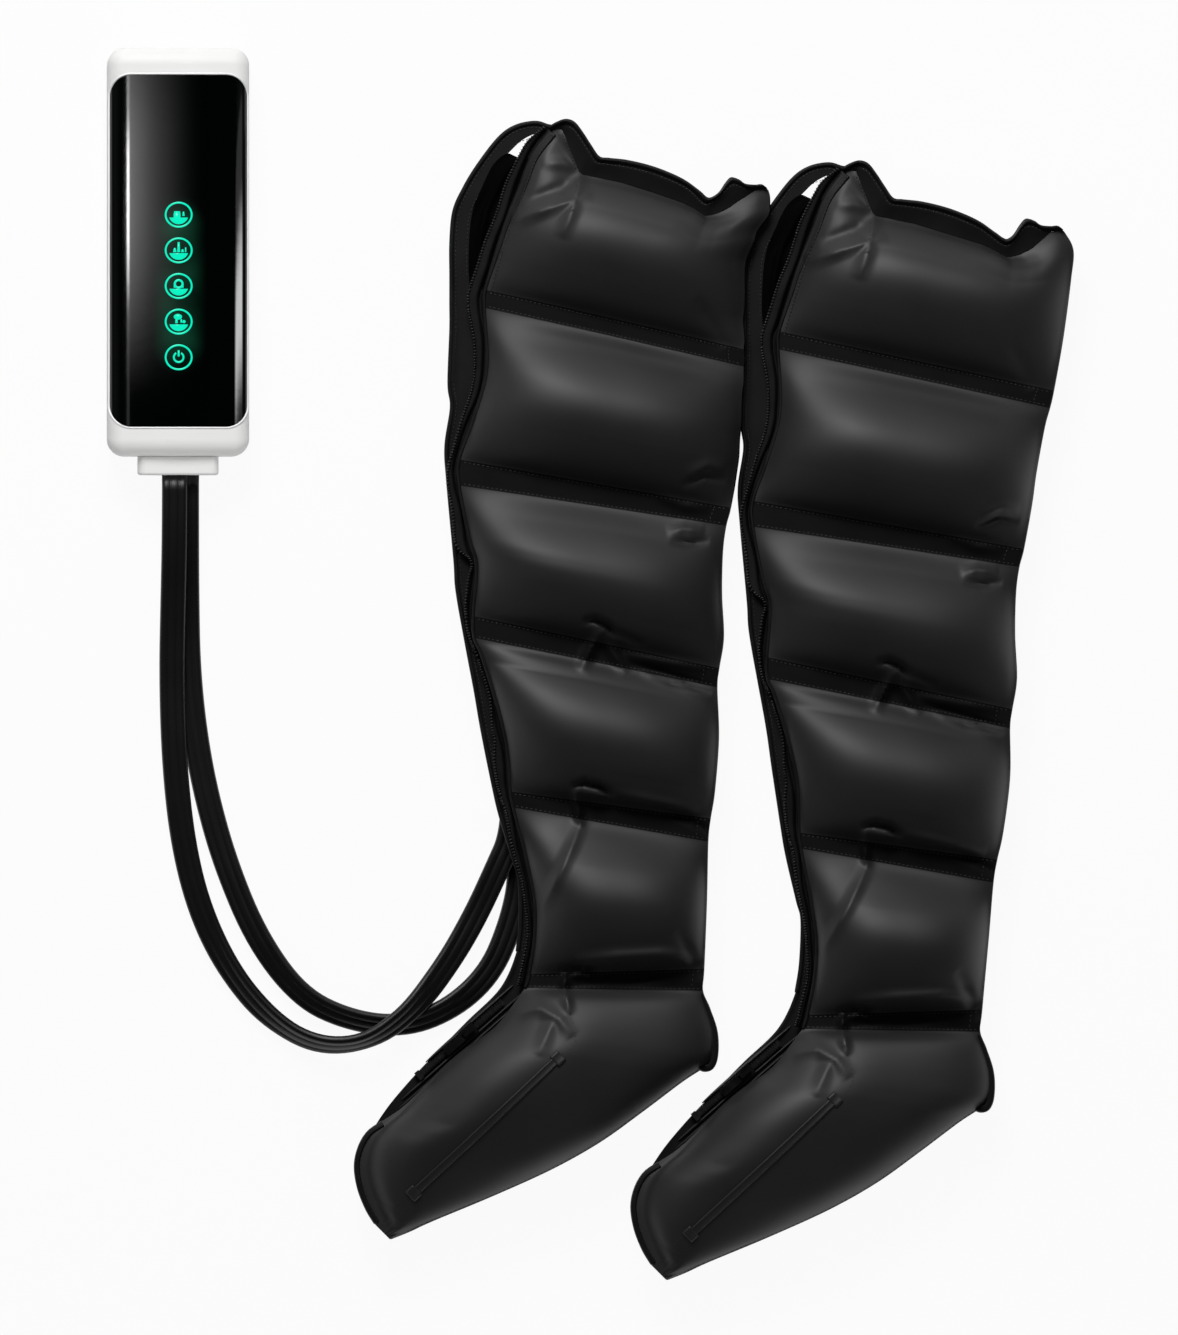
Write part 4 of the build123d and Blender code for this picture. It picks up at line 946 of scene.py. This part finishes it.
# thread along both edges of every welded band, a little inside it, and a short row across
threads = bmesh.new()
for number, (rows, zip_side, outer_side, crown) in enumerate(panel_parts):
    if crown:
        continue
    ends = [(zip_side[0], outer_side[0]), (zip_side[-1], outer_side[-1])]
    middle = (ends[1][0][0] - ends[0][0][0], ends[1][0][1] - ends[0][0][1])
    run = math.hypot(*middle)
    for (a, b), way in zip(ends, (1, -1)):
        inward = (way * 1.6 * middle[0] / run, way * 1.6 * middle[1] / run)
        line = [(a[0] + (b[0] - a[0]) * k + inward[0], a[1] + (b[1] - a[1]) * k + inward[1])
                for k in (0.015, 0.35, 0.65, 0.985)]
        stitches(threads, line, on_panel)
    (a, b), (c, d) = ends
    across = [(a[0] + (b[0] - a[0]) * 0.94, a[1] + (b[1] - a[1]) * 0.94 - 2.4),
              (c[0] + (d[0] - c[0]) * 0.94, c[1] + (d[1] - c[1]) * 0.94 + 2.4)]
    stitches(threads, across, on_panel)

# binding down the zip side of the panel: wide on the upper chamber, a narrow piping below it
binding_rows = 420


def zip_binding(u, t, layer):
    width = blended([(0, 7.4), (0.06, 6.4), (0.14, 4.0), (0.2, 2.6), (1, 2.4)], t)
    x, y = smooth_at(zip_line, t)
    ahead = smooth_at(zip_line, min(1, t + 0.004))
    back = smooth_at(zip_line, max(0, t - 0.004))
    run = math.dist(ahead, back)
    side_x, side_y = -(ahead[1] - back[1]) / run, (ahead[0] - back[0]) / run
    reach = -0.9 + width * u
    ground = on_panel(x + side_x * max(reach, 0.8), y + side_y * max(reach, 0.8)).z * 1000
    bulge = 1.3 * math.sqrt(max(0, 1 - (2 * u - 1) ** 4))
    z = ground + bulge if layer else (32.0 if u < 0.3 else ground - 0.6)
    return x + side_x * reach, y + side_y * reach, z


rounded(pair("zip_binding", shaped(6, binding_rows, zip_binding), "sleeve_black", (), nylon_tape))
stitches(threads, beside(zip_line, 4.6)[:6], lambda x, y: on_panel(x, y, 1.3), pitch=2.9)

# mouth: a hem of both panels, wider at the zip ear and at the outer ear
mouth_rows = [(0, -32.3, 402), (0.03, -26.6, 405.4), (0.055, -19.9, 407.6), (0.08, -13.1, 405.4),
              (0.1, -7.5, 398.6), (0.13, -0.8, 388.5), (0.165, 5.5, 379.8), (0.2, 12, 378.6),
              (0.3, 26.3, 377), (0.42, 44.3, 372.8), (0.53, 60, 367.1), (0.61, 71.3, 361.5),
              (0.69, 82.5, 353.6), (0.745, 90.4, 348.8), (0.78, 96, 351.4), (0.82, 101.6, 359.3),
              (0.86, 106.1, 363.8), (0.9, 111.8, 362.3), (0.93, 116.3, 359.3), (0.965, 124.1, 358.5),
              (0.985, 129, 358.8), (1, 133, 355.9)]


def seam_place(u):
    """The place at a share u along the panel's seam at the mouth."""
    for (u0, x0, y0), (u1, x1, y1) in zip(mouth_seam, mouth_seam[1:]):
        if u <= u1 + 1e-9:
            k = (u - u0) / (u1 - u0)
            return x0 + (x1 - x0) * k, y0 + (y1 - y0) * k


def rim_row(u):
    """The place at a share u along the smooth rim of the mouth."""
    i = max(k for k in range(len(mouth_rows) - 1) if mouth_rows[k][0] <= u + 1e-9)
    (u0, *start), (u1, *end) = mouth_rows[i], mouth_rows[i + 1]
    before, after = mouth_rows[max(i - 1, 0)], mouth_rows[min(i + 2, len(mouth_rows) - 1)]
    k, span = (u - u0) / (u1 - u0), u1 - u0
    spot = []
    for axis in (0, 1):
        slope0 = (end[axis] - before[axis + 1]) / (u1 - before[0]) * span
        slope1 = (after[axis + 1] - start[axis]) / (after[0] - u0) * span
        spot.append(start[axis] * (1 + 2 * k) * (1 - k) ** 2 + slope0 * k * (1 - k) ** 2
                    + end[axis] * k * k * (3 - 2 * k) + slope1 * k * k * (k - 1))
    return spot


def hem(low_top, low_bottom, climb, spread):
    """One layer of the mouth's hem, climbing from the seam out to a rounded rim."""
    def place(u, t, layer):
        a, b = seam_place(u), rim_row(u)
        x, y = a[0] + (b[0] - a[0]) * t * spread, a[1] + (b[1] - a[1]) * t * spread
        wide = max(4.0, math.dist(a, b))
        inward = (1 - t) * wide
        roll = 1.3 * math.exp(-(((inward - 1.9) / 1.5) ** 2)) - 1.6 * math.exp(-((inward / 0.8) ** 2))
        crease = -0.9 * math.exp(-(((inward - 4.4) / 0.9) ** 2))
        swollen = climb * t**1.3 + (roll + crease if t > 0.01 else 0)
        return x, y, (low_top + swollen if layer else low_bottom + 0.5 * climb * t)
    return place


front_hem = hem(35.4, 32.4, 5.2, 1.0)
back_hem = hem(23.6, 18.4, 0.6, 1.03)
for name, shape in (("mouth_hem", front_hem), ("mouth_hem_back", back_hem)):
    nodes = ("collar",) if name == "mouth_hem" else ()
    pair(name, shaped(170, 22, shape), "sleeve_black", nodes, flap_cloth)
hem_skin = BVHTree.FromObject(bpy.data.objects["left_mouth_hem"], bpy.context.evaluated_depsgraph_get())


def on_hem(x, y):
    """The point on top of the hem over a place of the pattern."""
    flat = laid("left", Vector((x / 1000, y / 1000, 0)))
    hit = hem_skin.ray_cast(Vector((flat.x, flat.y, 0.3)), Vector((0, 0, -1)))[0]
    return Vector((x / 1000, y / 1000, hit.z + 0.0002 if hit else 0.038))


gusset_line = [(-21, 396.5), (-15.5, 384), (-10.5, 370)]
rim_line = []
for i in range(8, 110):
    a, b = seam_place(i / 118), rim_row(i / 118)
    wide = math.dist(a, b)
    k = max(0.1, 1 - 5.4 / wide)
    rim_line.append((a[0] + (b[0] - a[0]) * k, a[1] + (b[1] - a[1]) * k))
stitches(threads, gusset_line, lambda x, y: on_panel(x - 1.5, y, 0.6), pitch=2.8)
stitches(threads, [(-11.5, 362), (-12.5, 354), (-13.5, 347)], lambda x, y: on_panel(x, y, 0.3), pitch=2.8)
stitches(threads, rim_line, on_hem, pitch=3.0, height=0.4)

# zip flap: the free edge of the back panel, bound outside, sewn with two rows of thread
flap_pairs = [
    ((-25, 402.5), (-29, 396)), ((-32.2, 403.2), (-36, 397)), ((-42, 405.8), (-43, 396.5)), ((-57, 402.8), (-52.5, 391.5)),
    ((-69.8, 393.8), (-61, 383.5)), ((-85.5, 373.5), (-71, 373)), ((-96, 356.2), (-79.5, 357)),
    ((-103.5, 339), (-86, 341)), ((-105.8, 315.8), (-88.8, 320)), ((-105.8, 290), (-89, 292)),
    ((-105.8, 268), (-86, 268)), ((-105.8, 250.5), (-78, 250)), ((-107.2, 210), (-72, 210)),
    ((-105.4, 192), (-72, 192)), ((-109.5, 162.8), (-84, 163)), ((-108, 135), (-91, 140)),
    ((-102.8, 78), (-80, 78)), ((-101.2, 54.8), (-80, 54)), ((-94.5, 16.5), (-80, 16)),
    ((-87.8, -18.8), (-68, -18)), ((-82.5, -49.5), (-60, -49)), ((-74.2, -90.8), (-55, -90)),
    ((-69, -113.2), (-50, -112)), ((-59.2, -146.2), (-42, -146)), ((-54.8, -161.2), (-38, -161)),
    ((-54, -192.8), (-36, -192)), ((-56.2, -215.2), (-38, -215)), ((-68.2, -242.2), (-50, -256)),
    ((-93, -267), (-78, -287)), ((-112, -286.5), (-98, -303)), ((-130, -305), (-118, -318)),
    ((-145.5, -322.5), (-136, -331)), ((-154.5, -334), (-149, -339)), ((-161.5, -344.5), (-159.5, -346.5)),
]
flap_outer = [a for a, b in flap_pairs]
flap_inner = [b for a, b in flap_pairs]


def flap(u, t, layer):
    x, y = between(flap_outer, flap_inner, u, t)
    bead = 1.0 * math.exp(-((u - 0.06) / 0.07) ** 2) if t < 0.86 else 0
    return x, y, (25.6 + bead if layer else 24.2 - 0.5 * bead)


pair("zip_side_flap", shaped(16, 320, flap), "sleeve_black", ("zip_flap",), flap_cloth)
free_flap = flap_outer[:27]
for distance in (4.2, 12.5):
    line = beside(free_flap, distance)
    stitches(threads, line[:10] if distance > 10 else line,
             lambda x, y: Vector((x, y, 25.9)) / 1000, pitch=3.0)


def flap_edge(u, t, layer):
    x, y = smooth_at(free_flap, t)
    ahead, back = smooth_at(free_flap, min(1, t + 0.004)), smooth_at(free_flap, max(0, t - 0.004))
    run = math.dist(ahead, back)
    reach = -0.8 + 3.6 * u
    swell_here = math.sqrt(max(0, 1 - (2 * u - 1) ** 4))
    return (x - (ahead[1] - back[1]) / run * reach, y + (ahead[0] - back[0]) / run * reach,
            25.6 + 1.5 * swell_here if layer else 24.9 - 0.8 * swell_here)


rounded(pair("flap_binding", shaped(5, 360, flap_edge), "sleeve_black", (), nylon_tape))

# inner lining: slack black cloth between the flap and the zip, open only just below the ear. Its near-black colour is
# partly painted shade of the sleeve's inside
lining_pairs = [
    ((-37.5, 396), (-31, 398)), ((-42.5, 388.5), (-36, 391)), ((-49, 380), (-42, 382)),
    ((-55.5, 378.6), (-45.5, 378)), ((-62, 382), (-48, 372.5)), ((-68.5, 379), (-52, 364)),
    ((-75, 371.5), (-55, 356)), ((-82, 357), (-59, 345)), ((-88.5, 341), (-64, 331.5)),
    ((-91.5, 320), (-69.5, 313)), ((-92, 292), (-76, 290)), ((-89, 268), (-80, 268)),
    ((-81, 250), (-79, 250)),
]
lining_outer = [a for a, b in lining_pairs]
lining_inner = [b for a, b in lining_pairs]


def lining(u, t, layer):
    x, y = between(lining_outer, lining_inner, u, t)
    fold = 2.4 * math.exp(-(((u - 0.42 - 0.05 * math.sin(9 * t)) / 0.11) ** 2))
    fold += 0.9 * math.sin(math.pi * u) * math.sin(23 * t + 4 * u)
    ground = 26.3 + 3.2 * u * u + max(-1.0, fold) * min(1, 6 * (1 - t), 0.3 + 5 * t)
    return x, y, ground if layer else ground - 0.8


pair("sleeve_lining", shaped(28, 150, lining), "sleeve_black", (), lining_cloth_and_shade)

# zip tape: it stands out from under the panel and carries one row of coil teeth
reach_table = [(0, 5), (0.03, 8), (0.08, 10), (0.2, 11), (0.3, 9), (0.38, 6), (0.43, 8.5), (0.478, 11),
               (0.511, 3.2), (0.531, 5.5), (0.62, 4), (0.665, 4), (0.708, 7), (0.735, 10.5), (0.794, 7.5),
               (0.9, 6.5), (1, 6.5)]


def tape_place(reach, t):
    """The place beside the panel's zip edge at that reach, with the tape's slack wave."""
    x, y = smooth_at(zip_line, t)
    ahead, back = smooth_at(zip_line, min(1, t + 0.006)), smooth_at(zip_line, max(0, t - 0.006))
    run = math.dist(ahead, back)
    wave = 0.8 * math.sin(38 * t) + 0.5 * math.sin(91 * t + 1)
    shift = reach - wave * (reach < 0)
    return x - (ahead[1] - back[1]) / run * shift, y + (ahead[0] - back[0]) / run * shift


def zip_tape(u, t, layer):
    reach = -blended(reach_table, t) + u * (blended(reach_table, t) + 4)
    x, y = tape_place(reach, t)
    wave = 0.5 * math.sin(38 * t) * (1 - u)
    # the tape dips into a dark furrow beside the panel
    dip = 3.6 * math.exp(-(((reach + 1.2) / 1.5) ** 2))
    return x, y, (31.5 if layer else 30.6) + wave - dip


pair("coil_tape", shaped(22, 340, zip_tape), "zip_black", ("zip_tape",), nylon_tape)
zip_coil = grained("nylon_zip_coil", "#141416", "#1f1f21", 0.3, 0.42, 400, 3000, 0.1)
teeth = bmesh.new()
tooth_count = 300
for i in range(tooth_count):
    t = (i + 0.5) / tooth_count
    reach = -blended(reach_table, t) + 0.6
    a, b = tape_place(reach - 1.4, t), tape_place(reach + 1.4, t)
    start = Vector((a[0], a[1], 32.0 + 0.5 * math.sin(38 * t))) / 1000
    end = Vector((b[0], b[1], 32.0 + 0.5 * math.sin(38 * t))) / 1000
    turn = (end - start).to_track_quat("X", "Z").to_matrix().to_4x4()
    size = Matrix.Diagonal((0.0032, 0.0014, 0.0017, 1))
    bmesh.ops.create_cube(teeth, size=1, matrix=Matrix.Translation((start + end) / 2) @ turn @ size)
rounded(pair("zip_teeth", teeth, "zip_black", (), zip_coil))

# instep: the closed zip lies between two ridges of folded tape
track_low, track_high = (-130.6, -308.8), (-66.6, -252.4)
track_run = math.dist(track_low, track_high)
track_way = ((track_high[0] - track_low[0]) / track_run, (track_high[1] - track_low[1]) / track_run)


def instep_ridge(gap, width, height, first):
    """A fold of tape beside the closed zip, gap away from its middle line."""
    def place(u, t, layer):
        along = first + (track_run + 14 - first) * t
        fade = swell(0.01 + 0.98 * t, 3, 0.7)
        side = gap + width * (0.5 + (u - 0.5) * (0.15 + 0.85 * fade))
        x = track_low[0] + track_way[0] * along - track_way[1] * side
        y = track_low[1] + track_way[1] * along + track_way[0] * side
        crest = math.sqrt(max(0, 1 - (2 * u - 1) ** 2)) * fade
        return x, y, 26.2 + height * crest if layer else 25.7
    return place


for name, gap, width, height, first in (
    ("instep_fold_outer", 2.6, 2.8, 3.0, 12), ("instep_fold_inner", -6.4, 2.6, 3.8, -20),
    ("instep_fold_last", -10.2, 2.8, 5.2, -26),
):
    rounded(pair(name, shaped(6, 70, instep_ridge(gap, width, height, first)), "zip_black", (), coated_nylon))

# outer edge: one rounded fold joins the panels down the leg, round the heel and along the sole
whole_outer = outer_line + foot_outer_line[1:]


def outer_edge(u, t, layer):
    x, y = smooth_at(whole_outer, t)
    ahead, back = smooth_at(whole_outer, min(1, t + 0.003)), smooth_at(whole_outer, max(0, t - 0.003))
    run = math.dist(ahead, back)
    turn = math.pi * (u - 0.5)
    reach = 2.4 - (3.4 if layer else 0.6) * math.cos(turn)
    return (x - (ahead[1] - back[1]) / run * -reach, y - (ahead[0] - back[0]) / run * reach,
            28.8 + 5.4 * math.sin(turn) * (1 if layer else 0.85))


rounded(pair("outer_edge_fold", shaped(8, 420, outer_edge), "sleeve_black", ("outer_fold",), nylon_tape))

# foot: a straight strip is sewn along the instep, with a small tab at each end
strip_low, strip_high = (-133.5, -394.5), (-27.8, -294.8)
strip_run = math.dist(strip_low, strip_high)
strip_way = ((strip_high[0] - strip_low[0]) / strip_run, (strip_high[1] - strip_low[1]) / strip_run)


def strip_point(along, side):
    return (strip_low[0] + strip_way[0] * along - strip_way[1] * side,
            strip_low[1] + strip_way[1] * along + strip_way[0] * side)


def foot_strip(first, last, half_width, lift):
    def place(u, t, layer):
        x, y = strip_point(first + (last - first) * t, half_width * (2 * u - 1))
        ground = on_panel(x, y).z * 1000
        edge = max(0, 1 - (2 * u - 1) ** 8) * (0.45 + 0.55 * abs(2 * u - 1) ** 2)
        return x, y, ground + (0.2 + lift * edge if layer else -0.8)
    return place


for name, first, last, half_width, lift in (
    ("foot_strip", -2, strip_run + 2, 3.3, 1.7),
    ("foot_strip_low_tab", -5, 3, 5.4, 2.6),
    ("foot_strip_high_tab", strip_run - 3, strip_run + 5, 5.2, 2.6),
):
    steps = max(4, round(abs(last - first) / 2))
    rounded(pair(name, shaped(12, steps, foot_strip(first, last, half_width, lift)),
                 "sleeve_black", (), coated_nylon))
for side in (-2.2, 2.2):
    line = [strip_point(along, side) for along in (4, 50, 100, strip_run - 4)]
    stitches(threads, line, lambda x, y: on_panel(x, y, 1.4), pitch=2.9)
# thread from the heel pinch to the strip, and a fan of it down to the toe
for line in (
    [(-20.2, -252), (-13.5, -278), (-20, -291)],
    [strip_point(-6, -2), (-144, -412), (-151, -426)],
    [strip_point(-6, 3), (-150, -408), (-158, -420)],
    beside(foot_outer_line, 5.5)[2:],
    beside(foot_zip_line, 4.5)[6:],
):
    stitches(threads, line, on_panel)
rounded(pair("thread_rows", threads, "sleeve_black", (), thread))

# toe and heel: a doubled tape binds the edge from the end of the flap round the toe
def edge_binding(line, width):
    def place(u, t, layer):
        x, y = smooth_at(line, t)
        ahead, back = smooth_at(line, min(1, t + 0.01)), smooth_at(line, max(0, t - 0.01))
        run = math.dist(ahead, back)
        side_x, side_y = -(ahead[1] - back[1]) / run, (ahead[0] - back[0]) / run
        reach = -0.5 + width * u
        ground = on_panel(x + side_x * max(reach, 0.8), y + side_y * max(reach, 0.8)).z * 1000
        bulge = 1.4 * math.sqrt(max(0, 1 - (2 * u - 1) ** 4))
        return x + side_x * reach, y + side_y * reach, (ground + bulge if layer else (31.0 if u < 0.3 else ground - 0.6))
    return place


toe_line = foot_zip_line[8:]
rounded(pair("toe_binding", shaped(6, 90, edge_binding(toe_line, 4.6)), "sleeve_black", (), nylon_tape))
heel_line = [(81.5, -246), (87, -258), (92, -272), (93.5, -284), (92.5, -296), (89, -302.5), (83, -303.5), (78.5, -300)]


def heel_loop(u, t, layer):
    """A folded tape, sewn into the outer edge, that stands out past the heel as a rounded tab."""
    x, y = smooth_at(heel_line, t)
    ahead, back = smooth_at(heel_line, min(1, t + 0.02)), smooth_at(heel_line, max(0, t - 0.02))
    run = math.dist(ahead, back)
    reach = 1.6 - 6.6 * u * (0.35 + 0.65 * min(1, 3 * t))
    bulge = 2.6 * math.sqrt(max(0, 1 - (2 * u - 1) ** 4))
    return (x - (ahead[1] - back[1]) / run * reach, y + (ahead[0] - back[0]) / run * reach,
            34.6 + bulge if layer else 28.0 - 0.5 * bulge)


rounded(pair("heel_loop", shaped(8, 60, heel_loop), "sleeve_black", (), nylon_tape))

# back panel: a flat padded cushion under the whole sleeve, thin along the zip where the hoses pass
back_rows = 230


def underside(off, width):
    """How high the cushion's underside is, that far from the zip edge."""
    flat, rise = 22 + 0.4 * max(width - 22, 1), 0.7 * width
    if off < 22 or width < 40:
        return 16.2
    if off < flat:
        k = (off - 22) / (flat - 22)
        return 16.2 - 16 * k * k * (3 - 2 * k)
    k = max(0, (off - rise) / (width - rise))
    return 0.2 + 17.8 * k**3


def back_pad(u, t, layer):
    row = t * panel_rows
    x0, y0, _ = panel_point(0, row)
    x1, y1, _ = panel_point(1, row)
    width = math.dist((x0, y0), (x1, y1))
    x, y, _ = panel_point(u, row)
    ends = max(0.0, 1 - min(t, 1 - t) * 60) ** 3
    side = math.sqrt(max(0, 1 - (2 * u - 1) ** 8))
    low = underside(u * width, width)
    low += (20.0 - low) * max(ends, 1 - side)
    return x, y, 23.6 if layer else low


for piece in pair("back_cushion", shaped(48, back_rows, back_pad), "sleeve_black", ("back_panel",),
                  flap_cloth):
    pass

# zips: nylon coil, and a black lacquered zinc slider and pull on each sleeve
slider_zinc = grained("lacquered_zinc", "#1a1a1b", "#242426", 0.26, 0.38, 120, 2400, 0.1, metallic=0.6)
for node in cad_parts:
    if "zip_chain" in node or "zip_stop" in node:
        dress(zip_coil, node)
    elif "slider" in node or "pull" in node:
        dress(slider_zinc, node)

# ---------------------------------------------------------------- table and light
# A plain pale table top. It shows as white and keeps the shadows of what lies on it.
work = bmesh.new()
bmesh.ops.create_grid(work, x_segments=1, y_segments=1, size=6)
bmesh.ops.translate(work, verts=work.verts, vec=(0, 0, -0.0006))
mesh = bpy.data.meshes.new("table_top")
work.to_mesh(mesh)
work.free()
table_top = link("table_top", mesh)
table_white, shader = surface(
    "pale_table_lacquer", base_color=rgb("#e6e6e6"), roughness=0.9, specular_ior_level=0.1
)
mesh.materials.append(table_white)
ray = add(table_white, "ShaderNodeLightPath")
seen = add(
    table_white,
    "ShaderNodeMath",
    {"operation": "MAXIMUM"},
    {0: (ray, "Is Camera Ray"), 1: (ray, "Is Glossy Ray")},
)
glow = add(table_white, "ShaderNodeEmission", {"Color": (1, 1, 1, 1), "Strength": 1.0})
share = add(
    table_white, "ShaderNodeMath", {"operation": "MULTIPLY", 1: 0.94}, {0: (seen, "Value")}
)
both = add(
    table_white,
    "ShaderNodeMixShader",
    (),
    {0: (share, "Value"), 1: (shader, "BSDF"), 2: (glow, "Emission")},
)
wire(table_white, both, "Shader", table_white.node_tree.nodes["Material Output"], "Surface")

# a soft even sky. Something shiny mirrors it faintly, and darker overhead.
world = bpy.data.worlds.new("studio")
world.use_nodes = True
bpy.context.scene.world = world
sky = world.node_tree.nodes["Background"]
way = add(world, "ShaderNodeTexCoord")
parts = add(world, "ShaderNodeSeparateXYZ", (), {0: (way, "Generated")})
mirrored = add(
    world,
    "ShaderNodeMapRange",
    {"From Min": 0.6, "From Max": 0.95, "To Min": 0.07, "To Max": 0.004},
    {"Value": (parts, "Z")},
)
ray = add(world, "ShaderNodeLightPath")
level = add(world, "ShaderNodeMix", {2: 0.24}, {0: (ray, "Is Glossy Ray"), 3: (mirrored, "Result")})
wire(world, level, 0, sky, "Strength")
sky.inputs["Color"].default_value = (1, 1, 1, 1)


def lamp(name, place, aim, size, power):
    """A square soft light aimed at a point, unseen by the camera."""
    data = bpy.data.lights.new(name, "AREA")
    data.shape = "RECTANGLE"
    data.size, data.size_y = size
    data.energy = power
    thing = link(name, data)
    place, aim = Vector(place), Vector(aim)
    thing.location = place
    thing.rotation_euler = (place - aim).to_track_quat("Z", "Y").to_euler()
    thing.visible_camera = False
    return thing


lamp("key", (-0.6, 2.4, 2.15), (0.05, 0, 0), (1.5, 1.2), 80)
# a weak lamp from the other side keeps the shaded ends of the white housing pale
housing_fill = lamp("housing_fill", (0.6, -1.9, 1.7), (-0.31, 0.28, 0), (1.2, 1.0), 25)
white_parts = bpy.data.collections.new("white_parts")
for node in ("front_shell", "back_shell", "hose_plug"):
    white_parts.objects.link(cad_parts[node])
housing_fill.light_linking.receiver_collection = white_parts


# only the glossy panel mirrors the studio cards
mirrors = bpy.data.collections.new("panel_only")
mirrors.objects.link(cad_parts["touch_lens"])


def reflector(name, corners, material):
    """A glowing studio card that shows only as a reflection."""
    work = bmesh.new()
    bmesh.ops.create_grid(work, x_segments=1, y_segments=1, size=0.5)
    low, high = Vector(corners[0]), Vector(corners[1])
    for v in work.verts:
        u, t = v.co.x + 0.5, v.co.y + 0.5
        v.co = Vector((low.x + (high.x - low.x) * u, low.y + (high.y - low.y) * t,
                       low.z + (high.z - low.z) * u))
    mesh = bpy.data.meshes.new(name)
    work.to_mesh(mesh)
    work.free()
    mesh.materials.append(material)
    thing = link(name, mesh)
    thing.visible_camera = False
    thing.visible_diffuse = False
    thing.visible_shadow = False
    thing.visible_transmission = False
    thing.light_linking.receiver_collection = mirrors


def card_light(name, strength_at):
    """Light of a card: layers of ramps (axis, from, to, low, high), multiplied, then added up.

    A ramp with only (axis, from, length) falls away by e over each length instead."""
    material = bpy.data.materials.new(name)
    material.use_nodes = True
    nodes = material.node_tree.nodes
    nodes.remove(nodes["Principled BSDF"])
    spot = add(material, "ShaderNodeTexCoord")
    parts = add(material, "ShaderNodeSeparateXYZ", (), {0: (spot, "Object")})
    total = None
    for layer in strength_at:
        value = None
        for axis, start, end, *levels in layer:
            if levels:
                ramp = add(
                    material,
                    "ShaderNodeMapRange",
                    {"interpolation_type": "SMOOTHSTEP", "From Min": start, "From Max": end,
                     "To Min": levels[0], "To Max": levels[1]},
                    {"Value": (parts, axis)},
                )
            else:
                away = add(
                    material, "ShaderNodeMapRange", {"clamp": False, "From Min": start, "From Max": start - end},
                    {"Value": (parts, axis)},
                )
                ramp = add(material, "ShaderNodeMath", {"operation": "EXPONENT"}, {0: (away, "Result")})
            value = ramp if value is None else add(
                material, "ShaderNodeMath", {"operation": "MULTIPLY"}, {0: (value, 0), 1: (ramp, 0)}
            )
        total = value if total is None else add(
            material, "ShaderNodeMath", {"operation": "ADD"}, {0: (total, 0), 1: (value, 0)}
        )
    shine = add(material, "ShaderNodeEmission", (), {"Strength": (total, 0)})
    wire(material, shine, "Emission", nodes["Material Output"], "Surface")
    return material


# over the pump: a narrow bright strip beside a wide soft gradient, mirrored in the domed panel
overhead_light = card_light("overhead_card_light", [
    [("X", -0.84, -0.828, 1, 0), ("Y", 0.315, 0.405, 0.6, 28), ("Y", 0.445, 0.51, 1, 0.1)],
    [("X", -0.86, 0.22), ("X", -0.4, 0.1, 1, 0), ("Y", 0.24, 0.42, 0, 5.0), ("Y", 0.47, 0.56, 1, 0.55)],
])
reflector("overhead_card", ((-0.868, 0.15, 3.0), (0.12, 0.56, 3.0)), overhead_light)
# far to the right: a tall narrow card for the soft line down the panel's right side
side_light = card_light("side_card_light", [
    [("Y", 0.22, 0.31, 0.5, 13), ("Y", 0.34, 0.43, 1, 0.05), ("Z", 0.7, 1.3, 0, 1), ("Z", 4.2, 5.3, 1, 0)],
])
reflector("side_card", ((2.0, 0.1, 0.7), (1.5, 0.5, 5.4)), side_light)
